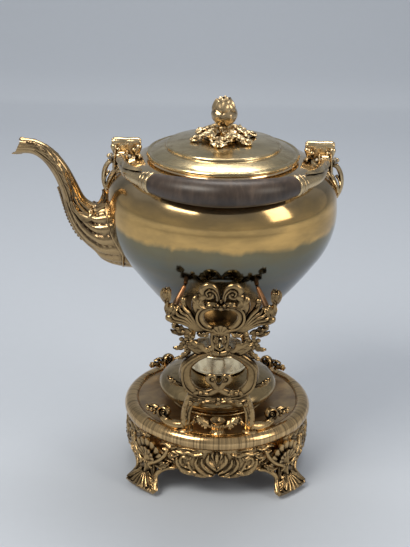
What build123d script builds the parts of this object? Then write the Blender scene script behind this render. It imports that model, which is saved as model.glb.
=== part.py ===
from build123d import *
import math
import os

# A kettle with a swing handle, on a footed stand with a spirit lamp under it.
# Millimetres. The origin is on the kettle's axis at the table, +Z up, the spout towards -X,
# the handle folded towards -Y.

# Base of the stand
plate_radius = 84.0
plate_top = 58.0
plate_thickness = 3.0
rim_tube_radius = 7.5
rim_wall = 2.0
rim_drop = 5.5
rim_height = plate_top - rim_drop
rim_seat_drop = 6.5
rim_seat = rim_height - rim_seat_drop
apron_bottom = 20.0
apron_wall = 2.4
apron_bulge = 2.2
apron_step_in = 4.0
apron_top_radius = plate_radius - apron_step_in
scallop_radius = 7.0
scallop_angles = (-27.0, -9.0, 0.0, 9.0, 27.0)
foot_angles = (45.0, 135.0, 225.0, 315.0)
foot_neck_stand_out = 3.5
foot_neck_radius = apron_top_radius + foot_neck_stand_out
foot_toe_stand_out = 6.5
foot_toe_radius = apron_top_radius + foot_toe_stand_out
foot_toe_width = 36.0
foot_toe_depth = 21.0
foot_shell_width = 40.0
foot_shell_overlap = 1.0
foot_shell_top = rim_seat + foot_shell_overlap
foot_screw_drop = 12.0
foot_screw_height = rim_seat - foot_screw_drop

# Screws
screw_shank_radius = 1.5
screw_head_radius = 2.8
screw_head_height = 1.6
screw_bite = 6.0
screw_sink = 0.6
fastener_gap = 0.05

# Stand frames, drawn flat in a plane that leans outwards
frame_lean = 12.0
frame_foot_inset = 18.0
frame_foot_distance = plate_radius - frame_foot_inset
frame_thickness = 7.0
oval_height = 61.5
oval_half_width = 31.5
oval_half_height = 24.5
window_half_width = 21.8
window_half_height = 19.0
waist_half_width = 7.5
waist_sink = 2.0
waist_bottom = oval_height + oval_half_height - waist_sink
waist_length = 25.0
waist_top = waist_bottom + waist_length
lozenge_rise = 8.0
lozenge_height = waist_bottom + lozenge_rise
lozenge_half_width = 3.2
leg_foot_x = 25.5
leg_radius = 4.4
crown_hole_rise = 12.0
crown_hole_height = waist_top + crown_hole_rise
crown_hole_half_width = 13.0
crown_hole_half_height = 8.5
knob_x = 41.0
knob_rise = 12.5
knob_height = waist_top + knob_rise
scroll_foot_x = 46.0
scroll_foot_setback = 14.0
scroll_foot_y = frame_foot_distance - scroll_foot_setback
scroll_foot_rise = 11.0
scroll_foot_z = plate_top + scroll_foot_rise
scroll_coil_radius = 5.6
scroll_tube_radius = 2.6
bud_end_x = 60.0
bud_end_setback = 23.0
bud_end_y = frame_foot_distance - bud_end_setback
bud_end_rise = 9.5
bud_end_z = plate_top + bud_end_rise
garland_stand_out = 5.5
garland_foot_distance = frame_foot_distance + garland_stand_out
garland_foot_radius = 5.5
garland_foot_height = 9.0

# Prongs that carry the kettle
prong_contact_drop = 3.6
prong_contact_x = 29.3
prong_root_radius = 2.9
prong_tip_radius = 1.75
prong_tip_gap = 0.2
prong_spigot_radius = 1.6
prong_spigot_length = 5.0
cup_radius = 5.2
cup_length = 6.5

# Spirit lamp
lamp_foot_radius = 42.0
lamp_foot_height = 6.0
lamp_radius = 53.0
lamp_belly_rise = 13.0
lamp_belly_height = plate_top + lamp_belly_rise
lamp_wall = 1.5
lamp_seam_rise = 24.0
lamp_seam_height = plate_top + lamp_seam_rise
lamp_neck_radius = 27.0
lamp_neck_rise = 32.0
lamp_neck_height = plate_top + lamp_neck_rise
collar_height = 4.0
wick_tube_radius = 9.0
wick_tube_wall = 1.2
wick_tube_rise = 14.0
wick_tube_top = lamp_neck_height + wick_tube_rise
wick_stand_out = 2.0
snuffer_radius = 25.0
snuffer_height = 19.0
snuffer_wall = 1.2
snuffer_seat_gap = 0.3
snuffer_knob_radius = 4.2
snuffer_knob_height = 9.0

# Kettle
kettle_lift_height = 81.0
kettle_bottom = plate_top + kettle_lift_height
kettle_bottom_radius = 36.0
belly_start_rise = 2.0
belly_bulge = 1.82
kettle_radius = 98.0
belly_high_inset = 11.1
belly_high_radius = kettle_radius - belly_high_inset
belly_high_rise = 64.0
belly_high_height = kettle_bottom + belly_high_rise
kettle_wide_rise = 47.0
kettle_wide_height = belly_high_height + kettle_wide_rise
kettle_wall = 1.6
shoulder_width = 38.0
shoulder_rise = 34.5
mouth_radius = 56.0
ledge_step_out = 10.5
ledge_radius = mouth_radius + ledge_step_out
mouth_depth = 6.0
mouth_bead_width = 7.0
mouth_bead_radius = mouth_radius + mouth_bead_width
mouth_bead_height = 1.7
foot_ring_inset = 3.0
foot_ring_radius = kettle_bottom_radius - foot_ring_inset
foot_ring_height = 4.0

# Spout: at each station how far its centre is beyond the kettle's widest radius and above its
# widest place, then the half height, the half width and the tilt
spout_wall = 1.5
spout_stations = (
    (-30.0, -36.0, 32.5, 19.0, 88.0),
    (1.0, -34.0, 28.0, 18.0, 88.0),
    (10.6, -30.8, 22.3, 16.0, 83.7),
    (17.2, -25.4, 17.7, 13.9, 65.2),
    (23.0, -17.6, 13.0, 11.6, 44.8),
    (28.7, -7.0, 9.2, 8.9, 26.0),
    (34.3, 7.6, 7.5, 7.4, 21.4),
    (41.0, 21.0, 6.9, 6.8, 32.0),
    (50.5, 33.2, 6.4, 6.3, 48.3),
    (62.0, 40.0, 6.0, 5.9, 70.0),
    (75.5, 41.0, 7.1, 6.6, 66.0),
)
strainer_hole_radius = 2.4
strainer_pitch = 7.5
strainer_height = kettle_wide_height + spout_stations[1][1]

# Lid
lid_overhang = 9.0
lid_radius = mouth_radius + lid_overhang
lid_seat_gap = 0.3
lid_rim_height = 4.6
lid_slope_width = 17.4
lid_step_radius = lid_radius - lid_slope_width
lid_step_rise = 10.5
lid_top_radius = 21.0
lid_top_rise = 15.0
lid_wall = 1.6
lid_flange_depth = 5.5
lid_flange_gap = 0.5
calyx_radius = 23.0
calyx_height = 11.5
bud_radius = 11.2
bud_height = 23.0
stud_radius = 2.0
nut_radius = 4.5
nut_height = 3.0

# Handle
hinge_inset = 11.5
hinge_x = kettle_radius - hinge_inset
hinge_rise = 33.0
hinge_height = kettle_wide_height + hinge_rise
eye_radius = 4.8
eye_width = 6.2
hinge_pin_radius = 2.0
hinge_running_gap = 0.05
arm_root_radius = 3.0
ferrule_radius = 8.0
ferrule_length = 4.0
grip_end_radius = 7.4
grip_middle_radius = 11.0
grip_tenon_radius = 4.0
grip_tenon_length = 9.0
grip_pin_radius = 1.2

# The handle's centre line at rest, from the hinge to the middle of the grip: at each point how far
# in from the hinge towards the middle plane, how far forward, and how high above the hinge
handle_clearance = 4.5
handle_reach = kettle_radius + handle_clearance
handle_stations = (
    (0.0, 0.0, 0.0),
    (0.3, 9.0, 0.2),
    (3.0, 26.0, 0.2),
    (10.0, 50.0, 0.4),
    (27.0, 71.0, 0.8),
    (44.5, 88.0, 1.6),
    (65.0, 98.5, 2.2),
    (86.5, 102.5, 2.4),
)
handle_line = [
    (
        hinge_x * (1 - inwards / handle_stations[-1][0]),
        -handle_reach * forward / handle_stations[-1][1],
        hinge_height + rise,
    )
    for inwards, forward, rise in handle_stations
]
grip_end_point = 4

# Handle brackets
cheek_thickness = 3.2
cheek_half_depth = 5.5
cheek_top = 6.0
bracket_back = 14.0
bracket_front = 9.0
bracket_inner_width = 12.5
bracket_outer_width = 10.5
roll_radius = 4.0
roll_inner_width = 16.0
roll_outer_width = 8.0
roll_distance = 10.2
roll_rise = 10.5


# How upright boxes and cylinders stand on the point where they are placed
upright = (Align.CENTER, Align.CENTER, Align.MIN)


def write(name, shape):
    shape.label = name
    export_step(shape, f"parts/{name}.step")


def turned(points):
    """A solid of revolution from radius and height pairs, joined by straight lines."""
    outline = Polyline(*[(r, 0, z) for r, z in points], close=True)
    return revolve(make_face(outline), Axis.Z)


def rod(start, end, start_radius, end_radius=None):
    """A straight round rod, tapered if a second radius is given."""
    start, end = Vector(*start), Vector(*end)
    run = end - start
    plane = Plane(origin=start, z_dir=run)
    if end_radius is None or abs(end_radius - start_radius) < 1e-6:
        return plane * Cylinder(start_radius, run.length, align=upright)
    return plane * Cone(start_radius, end_radius, run.length, align=upright)


def limb(a, b):
    """A flat tapered limb between two discs, each given as x, height and radius."""
    discs = [(Pos(x, y) * Circle(r)).edges() for x, y, r in (a, b)]
    return make_hull(discs[0] + discs[1])


def both_sides(shapes):
    """Each flat shape and its mirror image across the middle line, fused."""
    total = None
    for shape in shapes:
        for one in (shape, mirror(shape, Plane.YZ)):
            total = one if total is None else total + one
    return total


def mirrored_x(shape):
    return mirror(shape, Plane.YZ)


def turned_back(shape):
    """The same piece in the back frame."""
    return Rot(0, 0, 180) * shape


# Kettle outline, shared by the bowl, the shoulder, the spout, the brackets and the prongs

def belly_middle():
    """The middle of the lower arc: the middle of its chord, moved out by the bulge."""
    low = Vector(kettle_bottom_radius, kettle_bottom + belly_start_rise)
    high = Vector(belly_high_radius, belly_high_height)
    chord = (high - low).normalized()
    middle = (low + high) / 2 + Vector(chord.Y, -chord.X) * belly_bulge
    return (middle.X, middle.Y)


belly_curve = ThreePointArc(
    (kettle_bottom_radius, kettle_bottom + belly_start_rise),
    belly_middle(),
    (belly_high_radius, belly_high_height),
)
flank_curve = TangentArc(
    (belly_high_radius, belly_high_height),
    (kettle_radius, kettle_wide_height),
    tangent=belly_curve % 1,
)


def belly_radius_at(height):
    centre = belly_curve.arc_center
    rise = height - centre.Y
    return centre.X + math.sqrt(belly_curve.radius**2 - rise**2)


def moved_in(curve, inset):
    """Start, middle and end of an arc moved towards its centre by the inset."""
    points = []
    for share in (0.0, 0.5, 1.0):
        point = curve @ share
        inwards = (curve.arc_center - point).normalized()
        points.append(point + inwards * inset)
    return points


def kettle_solid(inset):
    """The whole kettle body as a solid, its surface moved inwards by the inset."""
    low = kettle_bottom + inset
    belly = ThreePointArc(*moved_in(belly_curve, inset))
    flank = ThreePointArc(*moved_in(flank_curve, inset))
    foot = (kettle_bottom_radius - inset * 1.2, low)
    shoulder_centre = kettle_radius - shoulder_width
    top = kettle_wide_height + shoulder_rise - inset
    wide = flank @ 1
    turn = math.radians(45)
    half = (
        shoulder_centre + (shoulder_width - inset) * math.cos(turn),
        kettle_wide_height + (shoulder_rise - inset) * math.sin(turn),
    )
    dome = ThreePointArc(wide, half, (shoulder_centre, top))
    outline = (
        Line((0, low), foot)
        + Line(foot, belly @ 0)
        + belly
        + flank
        + dome
        + Line((shoulder_centre, top), (0, top))
        + Line((0, top), (0, low))
    )
    return revolve(Plane.XZ * make_face(outline), Axis.Z)


def ledge_height():
    """Height of the kettle's top where the lid's ledge is turned flat."""
    across = (ledge_radius - (kettle_radius - shoulder_width)) / shoulder_width
    return kettle_wide_height + shoulder_rise * math.sqrt(1 - across**2)


kettle_outside = kettle_solid(0.0)
kettle_inside = kettle_solid(kettle_wall)
ledge = ledge_height()
lid_seat = ledge + mouth_bead_height + lid_seat_gap


# Base of the stand

def screw(head_at, direction, bite):
    """A cheese-headed screw whose head starts at a point and whose shank runs along a direction."""
    head_at, direction = Vector(*head_at), Vector(*direction).normalized()
    head_end = head_at + direction * screw_head_height
    head = rod(head_at, head_end, screw_head_radius)
    shank = rod(head_end, head_end + direction * bite, screw_shank_radius)
    return head + shank


def screw_room(head_at, direction, bite):
    """The space that a screw takes, with its gap."""
    head_at, direction = Vector(*head_at), Vector(*direction).normalized()
    head_end = head_at + direction * screw_head_height
    start = head_at - direction * 1.0
    head = rod(start, head_end, screw_head_radius + fastener_gap)
    shank = rod(start, head_end + direction * (bite + fastener_gap), screw_shank_radius + fastener_gap)
    return head + shank


def base_plate():
    tube_at = plate_radius - rim_tube_radius
    ring = Torus(tube_at, rim_tube_radius) - Torus(tube_at, rim_tube_radius - rim_wall)
    ring = Pos(0, 0, rim_height) * ring
    low = Pos(0, 0, rim_height - rim_tube_radius) * Cylinder(
        plate_radius + 1, rim_seat - rim_height + rim_tube_radius, align=upright
    )
    inner_low = Pos(0, 0, rim_height - rim_tube_radius) * Cylinder(
        tube_at, rim_tube_radius, align=upright
    )
    disc = Pos(0, 0, plate_top - plate_thickness) * Cylinder(
        tube_at - 2.0, plate_thickness, align=upright
    )
    plate = (ring - low - inner_low) + disc
    for room in frame_screw_rooms():
        plate -= room
    return plate


def apron_outside():
    """The apron's outer face as a full solid, with its gentle bulge."""
    rise = rim_seat - apron_bottom
    return turned(
        (
            (0, apron_bottom),
            (apron_top_radius, apron_bottom),
            (apron_top_radius + apron_bulge, apron_bottom + 0.4 * rise),
            (apron_top_radius + apron_bulge, apron_bottom + 0.7 * rise),
            (apron_top_radius, rim_seat),
            (0, rim_seat),
        )
    )


def base_apron(outside):
    core = Pos(0, 0, apron_bottom) * Cylinder(
        apron_top_radius - apron_wall, rim_seat - apron_bottom, align=upright
    )
    band = outside - core
    for side in range(4):
        for angle in scallop_angles:
            drop = scallop_radius * (0.62 if angle == 0 else 0.25)
            hole = Rot(0, 0, 90 * side + angle) * Pos(
                apron_top_radius, 0, apron_bottom - scallop_radius + drop + 2.0
            ) * Rot(0, 90, 0) * Cylinder(scallop_radius, 12.0)
            band -= hole
    for room in foot_screw_rooms():
        band -= room
    return band


def foot_screw_places():
    """Head position and outward direction of the screw of each foot."""
    inside = apron_top_radius - apron_wall + screw_sink - screw_head_height
    places = []
    for angle in foot_angles:
        turn = math.radians(angle)
        out = (math.cos(turn), math.sin(turn), 0)
        places.append(((inside * out[0], inside * out[1], foot_screw_height), out))
    return places


def foot_screw_rooms():
    return [screw_room(at, out, apron_wall + screw_bite - 1.0) for at, out in foot_screw_places()]


def foot(angle, outside):
    """A corner foot: shell above, narrow neck, splayed leaf toe."""
    sections = (
        (0.0, foot_toe_radius, foot_toe_depth, foot_toe_width),
        (3.0, foot_toe_radius + 0.3, foot_toe_depth, foot_toe_width),
        (9.0, foot_neck_radius + 1.5, 11.0, 27.0),
        (19.0, foot_neck_radius, 8.0, 19.0),
        (29.0, foot_neck_radius + 0.8, 8.0, 30.0),
        (38.0, foot_neck_radius + 1.2, 8.0, foot_shell_width),
        (foot_shell_top, foot_neck_radius + 1.0, 5.0, 0.55 * foot_shell_width),
    )
    rings = [
        Plane(origin=(radius, 0, height)) * Ellipse(depth / 2, width / 2)
        for height, radius, depth, width in sections
    ]
    leg = loft(rings)
    inner = Cylinder(apron_top_radius, foot_shell_top + 1, align=upright)
    toe_room = Cylinder(plate_radius + 20, 18.0, align=upright)
    rim = Pos(0, 0, rim_height) * Torus(plate_radius - rim_tube_radius, rim_tube_radius + 0.02)
    leg = Rot(0, 0, angle) * leg
    leg = leg - outside - (inner - toe_room) - rim
    for room in foot_screw_rooms():
        leg -= room
    return leg


# Stand frames

def frame_plane():
    lean = math.radians(frame_lean)
    return Plane(
        origin=(0, -frame_foot_distance, plate_top),
        x_dir=(1, 0, 0),
        z_dir=(0, -math.cos(lean), -math.sin(lean)),
    )


def on_frame(x, height, outwards=0.0):
    """A point of the front frame's plane, in the object's own frame."""
    return frame_plane().from_local_coords(Vector(x, height, outwards))


def above_plate(shape):
    """What is left of a shape above the plate and its rolled rim."""
    ground = Pos(0, 0, plate_top) * Box(
        400, 400, 60, align=(Align.CENTER, Align.CENTER, Align.MAX)
    )
    rim = Pos(0, 0, rim_height) * Torus(plate_radius - rim_tube_radius, rim_tube_radius)
    return shape - ground - rim


def lyre():
    ring = Pos(0, oval_height) * Ellipse(oval_half_width, oval_half_height)
    window = Pos(0, oval_height + 0.2) * Ellipse(window_half_width, window_half_height)
    leg = [
        limb((20.0, oval_height - 17.5, 4.5), (26.5, 24.0, leg_radius)),
        limb((26.5, 24.0, leg_radius), (leg_foot_x, -2.0, leg_radius + 1.2)),
        limb((33.0, oval_height - 6.5, 3.0), (40.5, oval_height - 4.0, 2.4)),
    ]
    scrolls = [
        limb((15.0, oval_height - 17.0, 3.2), (7.5, oval_height - 11.0, 2.6)),
        limb((7.5, oval_height - 11.0, 2.6), (6.2, oval_height - 3.0, 4.2)),
    ]
    crest = limb((0, oval_height - 23.5, 4.0), (0, oval_height - 17.0, 5.0))
    waist = Pos(0, (waist_bottom + waist_top) / 2) * Rectangle(2 * waist_half_width, waist_top - waist_bottom)
    rosette = [
        limb((12.0, waist_bottom + 4.0, 4.0), (25.5, waist_bottom + 11.5, 5.8)),
        limb((25.5, waist_bottom + 11.5, 5.8), (34.0, waist_bottom + 6.0, 2.0)),
    ]
    lozenge = Pos(0, lozenge_height) * Rot(0, 0, 45) * Rectangle(
        lozenge_half_width * math.sqrt(2), lozenge_half_width * math.sqrt(2)
    )
    drawing = (ring - window) + both_sides(leg) + both_sides(scrolls) + crest + waist + both_sides(rosette)
    drawing -= lozenge
    cut = Pos(0, waist_top + 30) * Rectangle(200, 60)
    drawing -= cut
    plate = extrude(frame_plane() * drawing, amount=frame_thickness / 2, both=True)
    plate = above_plate(plate)
    for room in frame_screw_rooms():
        plate -= room
    return plate


def cradle():
    """The crown over the waist: a pair of lobes and volutes round an opening, and the two arms."""
    sides = [
        limb((8.0, waist_top + 3.0, 5.0), (16.0, waist_top + 13.0, 4.5)),
        limb((16.0, waist_top + 13.0, 4.5), (14.0, waist_top + 28.5, 6.5)),
        limb((14.0, waist_top + 28.5, 6.5), (8.8, waist_top + 39.5, 5.8)),
        limb((8.8, waist_top + 39.5, 5.8), (3.0, waist_top + 27.0, 4.0)),
        limb((8.0, waist_top + 2.0, 5.0), (28.0, waist_top + 4.5, 6.0)),
        limb((17.0, waist_top + 3.5, 6.5), (28.0, waist_top + 12.0, 6.0)),
        limb((28.0, waist_top + 8.0, 7.0), (knob_x, knob_height, 4.4)),
        limb((28.0, waist_top + 13.0, 5.0), (29.6, waist_top + 27.5, 2.4)),
        limb((27.0, waist_top - 1.0, 4.6), (37.5, waist_top - 1.5, 2.2)),
        limb((knob_x, knob_height, 3.6), (knob_x + 3.2, waist_top + 22.0, 2.4)),
        limb((knob_x + 3.2, waist_top + 22.0, 2.4), (knob_x + 3.4, waist_top + 32.0, 4.4)),
    ]
    hole = Pos(0, crown_hole_height) * Ellipse(crown_hole_half_width, crown_hole_half_height)
    drawing = both_sides(sides) + Pos(0, waist_top + 24.0) * Rectangle(16.0, 8.0) - hole
    below = Pos(0, waist_top - 30) * Rectangle(2 * 24.0, 60)
    drawing -= below
    plate = extrude(frame_plane() * drawing, amount=frame_thickness / 2, both=True)
    for side in (1, -1):
        plate -= prong_room(side)
    return plate


def prong_axis(side):
    """Root and tip of a front prong: from the arm's knob to the belly, a gap short of it."""
    root = on_frame(side * knob_x, knob_height, 0.0)
    height = belly_high_height - prong_contact_drop
    across = math.sqrt(belly_radius_at(height) ** 2 - prong_contact_x**2)
    contact = Vector(side * prong_contact_x, -across, height)
    direction = (contact - root).normalized()
    return root, contact, direction


def cup_start(side):
    root, contact, direction = prong_axis(side)
    return root + direction * 3.0


def prong_room(side):
    """The space that a prong's cup takes out of the arm, and the spigot's hole under it."""
    root, contact, direction = prong_axis(side)
    start = cup_start(side)
    bowl = rod(start, start + direction * 20.0, cup_radius)
    hole = rod(start - direction * prong_spigot_length, start + direction, prong_spigot_radius)
    return bowl + hole


def prong_cup(side):
    root, contact, direction = prong_axis(side)
    start = cup_start(side)
    widest = start + direction * (0.6 * cup_length)
    cup = rod(start, widest, 0.8 * cup_radius, cup_radius)
    lip = rod(widest, start + direction * cup_length, cup_radius, 0.7 * cup_radius)
    hole = rod(start - direction, start + direction * (cup_length + 1.0), prong_spigot_radius)
    socket = start + direction * (cup_length - 2.0)
    seat = rod(socket, start + direction * (cup_length + 1.0), prong_root_radius)
    return cup + lip - hole - seat


def prong(side):
    root, contact, direction = prong_axis(side)
    start = cup_start(side)
    seat = start + direction * (cup_length - 2.0)
    reach = (contact - seat).length - prong_tip_gap
    tip = seat + direction * reach
    round_start = tip - direction * prong_tip_radius
    shaft = rod(seat, round_start, prong_root_radius, prong_tip_radius)
    end = Pos(*tuple(round_start)) * Sphere(prong_tip_radius)
    spigot = rod(start - direction * (prong_spigot_length - 0.5), seat, prong_spigot_radius)
    return shaft + end + spigot


def scroll_foot(side):
    """A C-scroll beside a front leg: a tongue on the plate, a coil on end and a bud."""
    coil = Vector(side * scroll_foot_x, -scroll_foot_y, scroll_foot_z)
    low = coil.Z - scroll_coil_radius - 0.4
    tongue_root = (side * (leg_foot_x + leg_radius + 2.6), -(frame_foot_distance - 1.0), plate_top + 3.2)
    tongue_end = (coil.X - side * 1.0, coil.Y - 1.0, low)
    tongue = rod(tongue_root, tongue_end, 3.2, 2.8)
    across = Vector(side * math.cos(math.radians(50)), math.sin(math.radians(50)), 0)
    coil_axis = Vector(-across.Y, across.X, 0)
    disc = Plane(origin=coil, z_dir=coil_axis) * Cylinder(scroll_coil_radius + 1.0, 2.1 * scroll_tube_radius)
    bud_root = coil + across * scroll_coil_radius
    bud_end = Vector(side * bud_end_x, -bud_end_y, bud_end_z)
    stem = rod(bud_root, bud_end, 1.8, 2.6)
    bud = Pos(*tuple(bud_end)) * Sphere(3.0)
    middle = (bud_root + bud_end) * 0.5
    knot = Pos(*tuple(middle)) * Sphere(3.2)
    return above_plate(tongue + disc + stem + bud + knot) - lyre_block()


def lyre_block():
    """The strip that the lyre's legs take at the plate, so that what joins them stops at their faces."""
    width = 2 * (leg_foot_x + leg_radius + 1.3)
    strip = Pos(0, 10) * Rectangle(width, 60)
    return extrude(frame_plane() * strip, amount=frame_thickness / 2, both=True)


def garland():
    """The swag between the legs with its small fluted foot."""
    foot_at = Vector(0, -garland_foot_distance, plate_top)
    foot_end = foot_at + Vector(0, 0, garland_foot_height)
    pedestal = rod(foot_at, foot_end, garland_foot_radius, garland_foot_radius - 1.0)
    cap = Pos(0, -garland_foot_distance, plate_top + garland_foot_height) * Sphere(garland_foot_radius)
    swag = pedestal + cap
    for side in (1, -1):
        peak = (side * 15.0, -garland_foot_distance - 1.0, plate_top + 13.5)
        swag += rod((side * 3.0, -garland_foot_distance, plate_top + garland_foot_height), peak, 3.6, 2.8)
        swag += Pos(*peak) * Sphere(2.8)
        swag += rod(peak, (side * 23.5, -garland_foot_distance + 1.5, plate_top + 9.0), 2.8, 2.2)
    swag = above_plate(swag) - lyre_block()
    for room in frame_screw_rooms():
        swag -= room
    return max(swag.solids(), key=lambda one: one.volume)


def frame_screw_places():
    """Heads of the screws under the plate, two for each lyre and one for each garland."""
    under = plate_top - plate_thickness - screw_head_height
    places = []
    for turn in (1, -1):
        for x in (leg_foot_x, -leg_foot_x):
            places.append((x, -turn * (frame_foot_distance + 0.3), under))
        places.append((0, -turn * (garland_foot_distance - 1.5), under))
    return places


def frame_screw_rooms():
    return [screw_room(at, (0, 0, 1), plate_thickness + screw_bite - 1.0) for at in frame_screw_places()]


# Spirit lamp

def lamp_outline(inset):
    """The lamp's outer curve as radius and height pairs, moved inwards by the inset."""
    low = plate_top + lamp_foot_height
    steps = 10
    points = []
    for step in range(steps + 1):
        turn = -60 + step * (60 + 78) / steps
        radius = lamp_neck_radius + (lamp_radius - lamp_neck_radius - inset) * math.cos(math.radians(turn))
        rise = (lamp_belly_height - low) if turn < 0 else (lamp_neck_height - lamp_belly_height)
        height = lamp_belly_height + (rise - inset) * math.sin(math.radians(turn)) / (
            math.sin(math.radians(60)) if turn < 0 else math.sin(math.radians(78))
        )
        points.append((radius, height))
    return points


def lamp_solid(inset):
    points = lamp_outline(inset)
    curve = Spline(*points)
    outline = (
        Line((0, points[0][1]), points[0])
        + curve
        + Line(points[-1], (0, points[-1][1]))
        + Line((0, points[-1][1]), (0, points[0][1]))
    )
    return revolve(Plane.XZ * make_face(outline), Axis.Z)


def lamp_parts():
    outer, inner = lamp_solid(0.0), lamp_solid(lamp_wall)
    throat = Pos(0, 0, lamp_neck_height - 8) * Cylinder(
        wick_tube_radius, 20, align=upright
    )
    shell = outer - inner - throat
    top = lamp_outline(0.0)[-1][1]
    below = Pos(0, 0, plate_top) * Box(200, 200, lamp_seam_height - plate_top, align=upright)
    bowl = shell & below
    dome = shell - below
    foot_top = plate_top + lamp_foot_height
    ring = turned(
        (
            (lamp_foot_radius - 8, plate_top),
            (lamp_foot_radius, plate_top),
            (lamp_foot_radius + 0.5, plate_top + 2.5),
            (lamp_foot_radius - 3, plate_top + 3.5),
            (lamp_foot_radius - 3, foot_top),
            (lamp_foot_radius - 8, foot_top),
        )
    )
    collar = turned(
        (
            (wick_tube_radius, top),
            (wick_tube_radius + 5, top),
            (wick_tube_radius + 4, top + collar_height),
            (wick_tube_radius, top + collar_height),
        )
    )
    tube = Pos(0, 0, foot_top + 6) * (
        Cylinder(wick_tube_radius, wick_tube_top - foot_top - 6, align=upright)
        - Cylinder(
            wick_tube_radius - wick_tube_wall,
            wick_tube_top - foot_top - 6,
            align=upright,
        )
    )
    wick = Pos(0, 0, foot_top + 4) * Cylinder(
        wick_tube_radius - wick_tube_wall,
        wick_tube_top + wick_stand_out - foot_top - 4,
        align=upright,
    )
    seat = top + snuffer_seat_gap
    cap_top = seat + snuffer_height
    cap = turned(
        (
            (snuffer_radius - snuffer_wall, seat),
            (snuffer_radius, seat),
            (snuffer_radius, cap_top - 2.0),
            (snuffer_radius - 1.5, cap_top),
            (2.0, cap_top + 0.8),
            (2.0, cap_top + 0.8 - snuffer_wall),
            (snuffer_radius - snuffer_wall - 1.5, cap_top - snuffer_wall - 0.6),
            (snuffer_radius - snuffer_wall, cap_top - 3.0),
        )
    )
    knob_base = cap_top + 0.8
    knob = turned(
        (
            (0, knob_base - snuffer_wall - 1.0),
            (2.0, knob_base - snuffer_wall - 1.0),
            (2.0, knob_base + 3.0),
            (snuffer_knob_radius, knob_base + 5.0),
            (snuffer_knob_radius, knob_base + 7.0),
            (2.0, knob_base + snuffer_knob_height),
            (0, knob_base + snuffer_knob_height),
        )
    )
    return {
        "lamp_foot": ring,
        "lamp_bowl": bowl,
        "lamp_dome": dome,
        "lamp_collar": collar,
        "wick_tube": tube,
        "wick": wick,
        "snuffer_cap": cap,
        "snuffer_knob": knob,
    }


# Kettle

def kettle_parts():
    shell = kettle_outside - kettle_inside
    low = Box(400, 400, kettle_wide_height, align=upright)
    bowl = shell & low
    for row in (-1, 0, 1):
        for column in (-1, 0, 1):
            spot = Pos(-kettle_radius, column * strainer_pitch, strainer_height + row * strainer_pitch)
            bowl -= spot * Rot(0, 90, 0) * Cylinder(strainer_hole_radius, 40)
    shoulder = shell - low
    open_top = Pos(0, 0, kettle_wide_height) * Cylinder(
        ledge_radius, 80, align=upright
    )
    shoulder -= open_top
    mouth = turned(
        (
            (mouth_radius, ledge - mouth_depth),
            (mouth_radius + kettle_wall, ledge - mouth_depth),
            (mouth_radius + kettle_wall, ledge - kettle_wall),
            (ledge_radius, ledge - kettle_wall),
            (ledge_radius, ledge),
            (mouth_bead_radius, ledge),
            (mouth_bead_radius - 0.5, ledge + mouth_bead_height),
            (mouth_radius, ledge + mouth_bead_height),
        )
    )
    ring = turned(
        (
            (foot_ring_radius - 3, kettle_bottom),
            (foot_ring_radius, kettle_bottom),
            (foot_ring_radius + 1, kettle_bottom - foot_ring_height),
            (foot_ring_radius - 2, kettle_bottom - foot_ring_height),
        )
    )
    return {
        "kettle_bowl": bowl,
        "kettle_shoulder": shoulder,
        "kettle_mouth_ring": mouth,
        "kettle_foot_ring": ring,
    }


def spout_solid(inset, reach=0.0):
    rings = []
    last = len(spout_stations) - 1
    for number, (outwards, rise, half_height, half_width, tilt) in enumerate(spout_stations):
        x, z = -(kettle_radius + outwards), kettle_wide_height + rise
        turn = math.radians(tilt)
        along = Vector(-math.sin(turn), 0, math.cos(turn))
        shift = reach if number == last else (-reach if number == 0 else 0.0)
        upwards = (math.cos(turn), 0, math.sin(turn))
        plane = Plane(origin=Vector(x, 0, z) + along * shift, x_dir=upwards, z_dir=along)
        rings.append(plane * Ellipse(half_height - inset, half_width - inset))
    return loft(rings)


def spout():
    hollow = spout_solid(spout_wall, reach=1.0)
    return spout_solid(0.0) - kettle_outside - hollow


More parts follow.
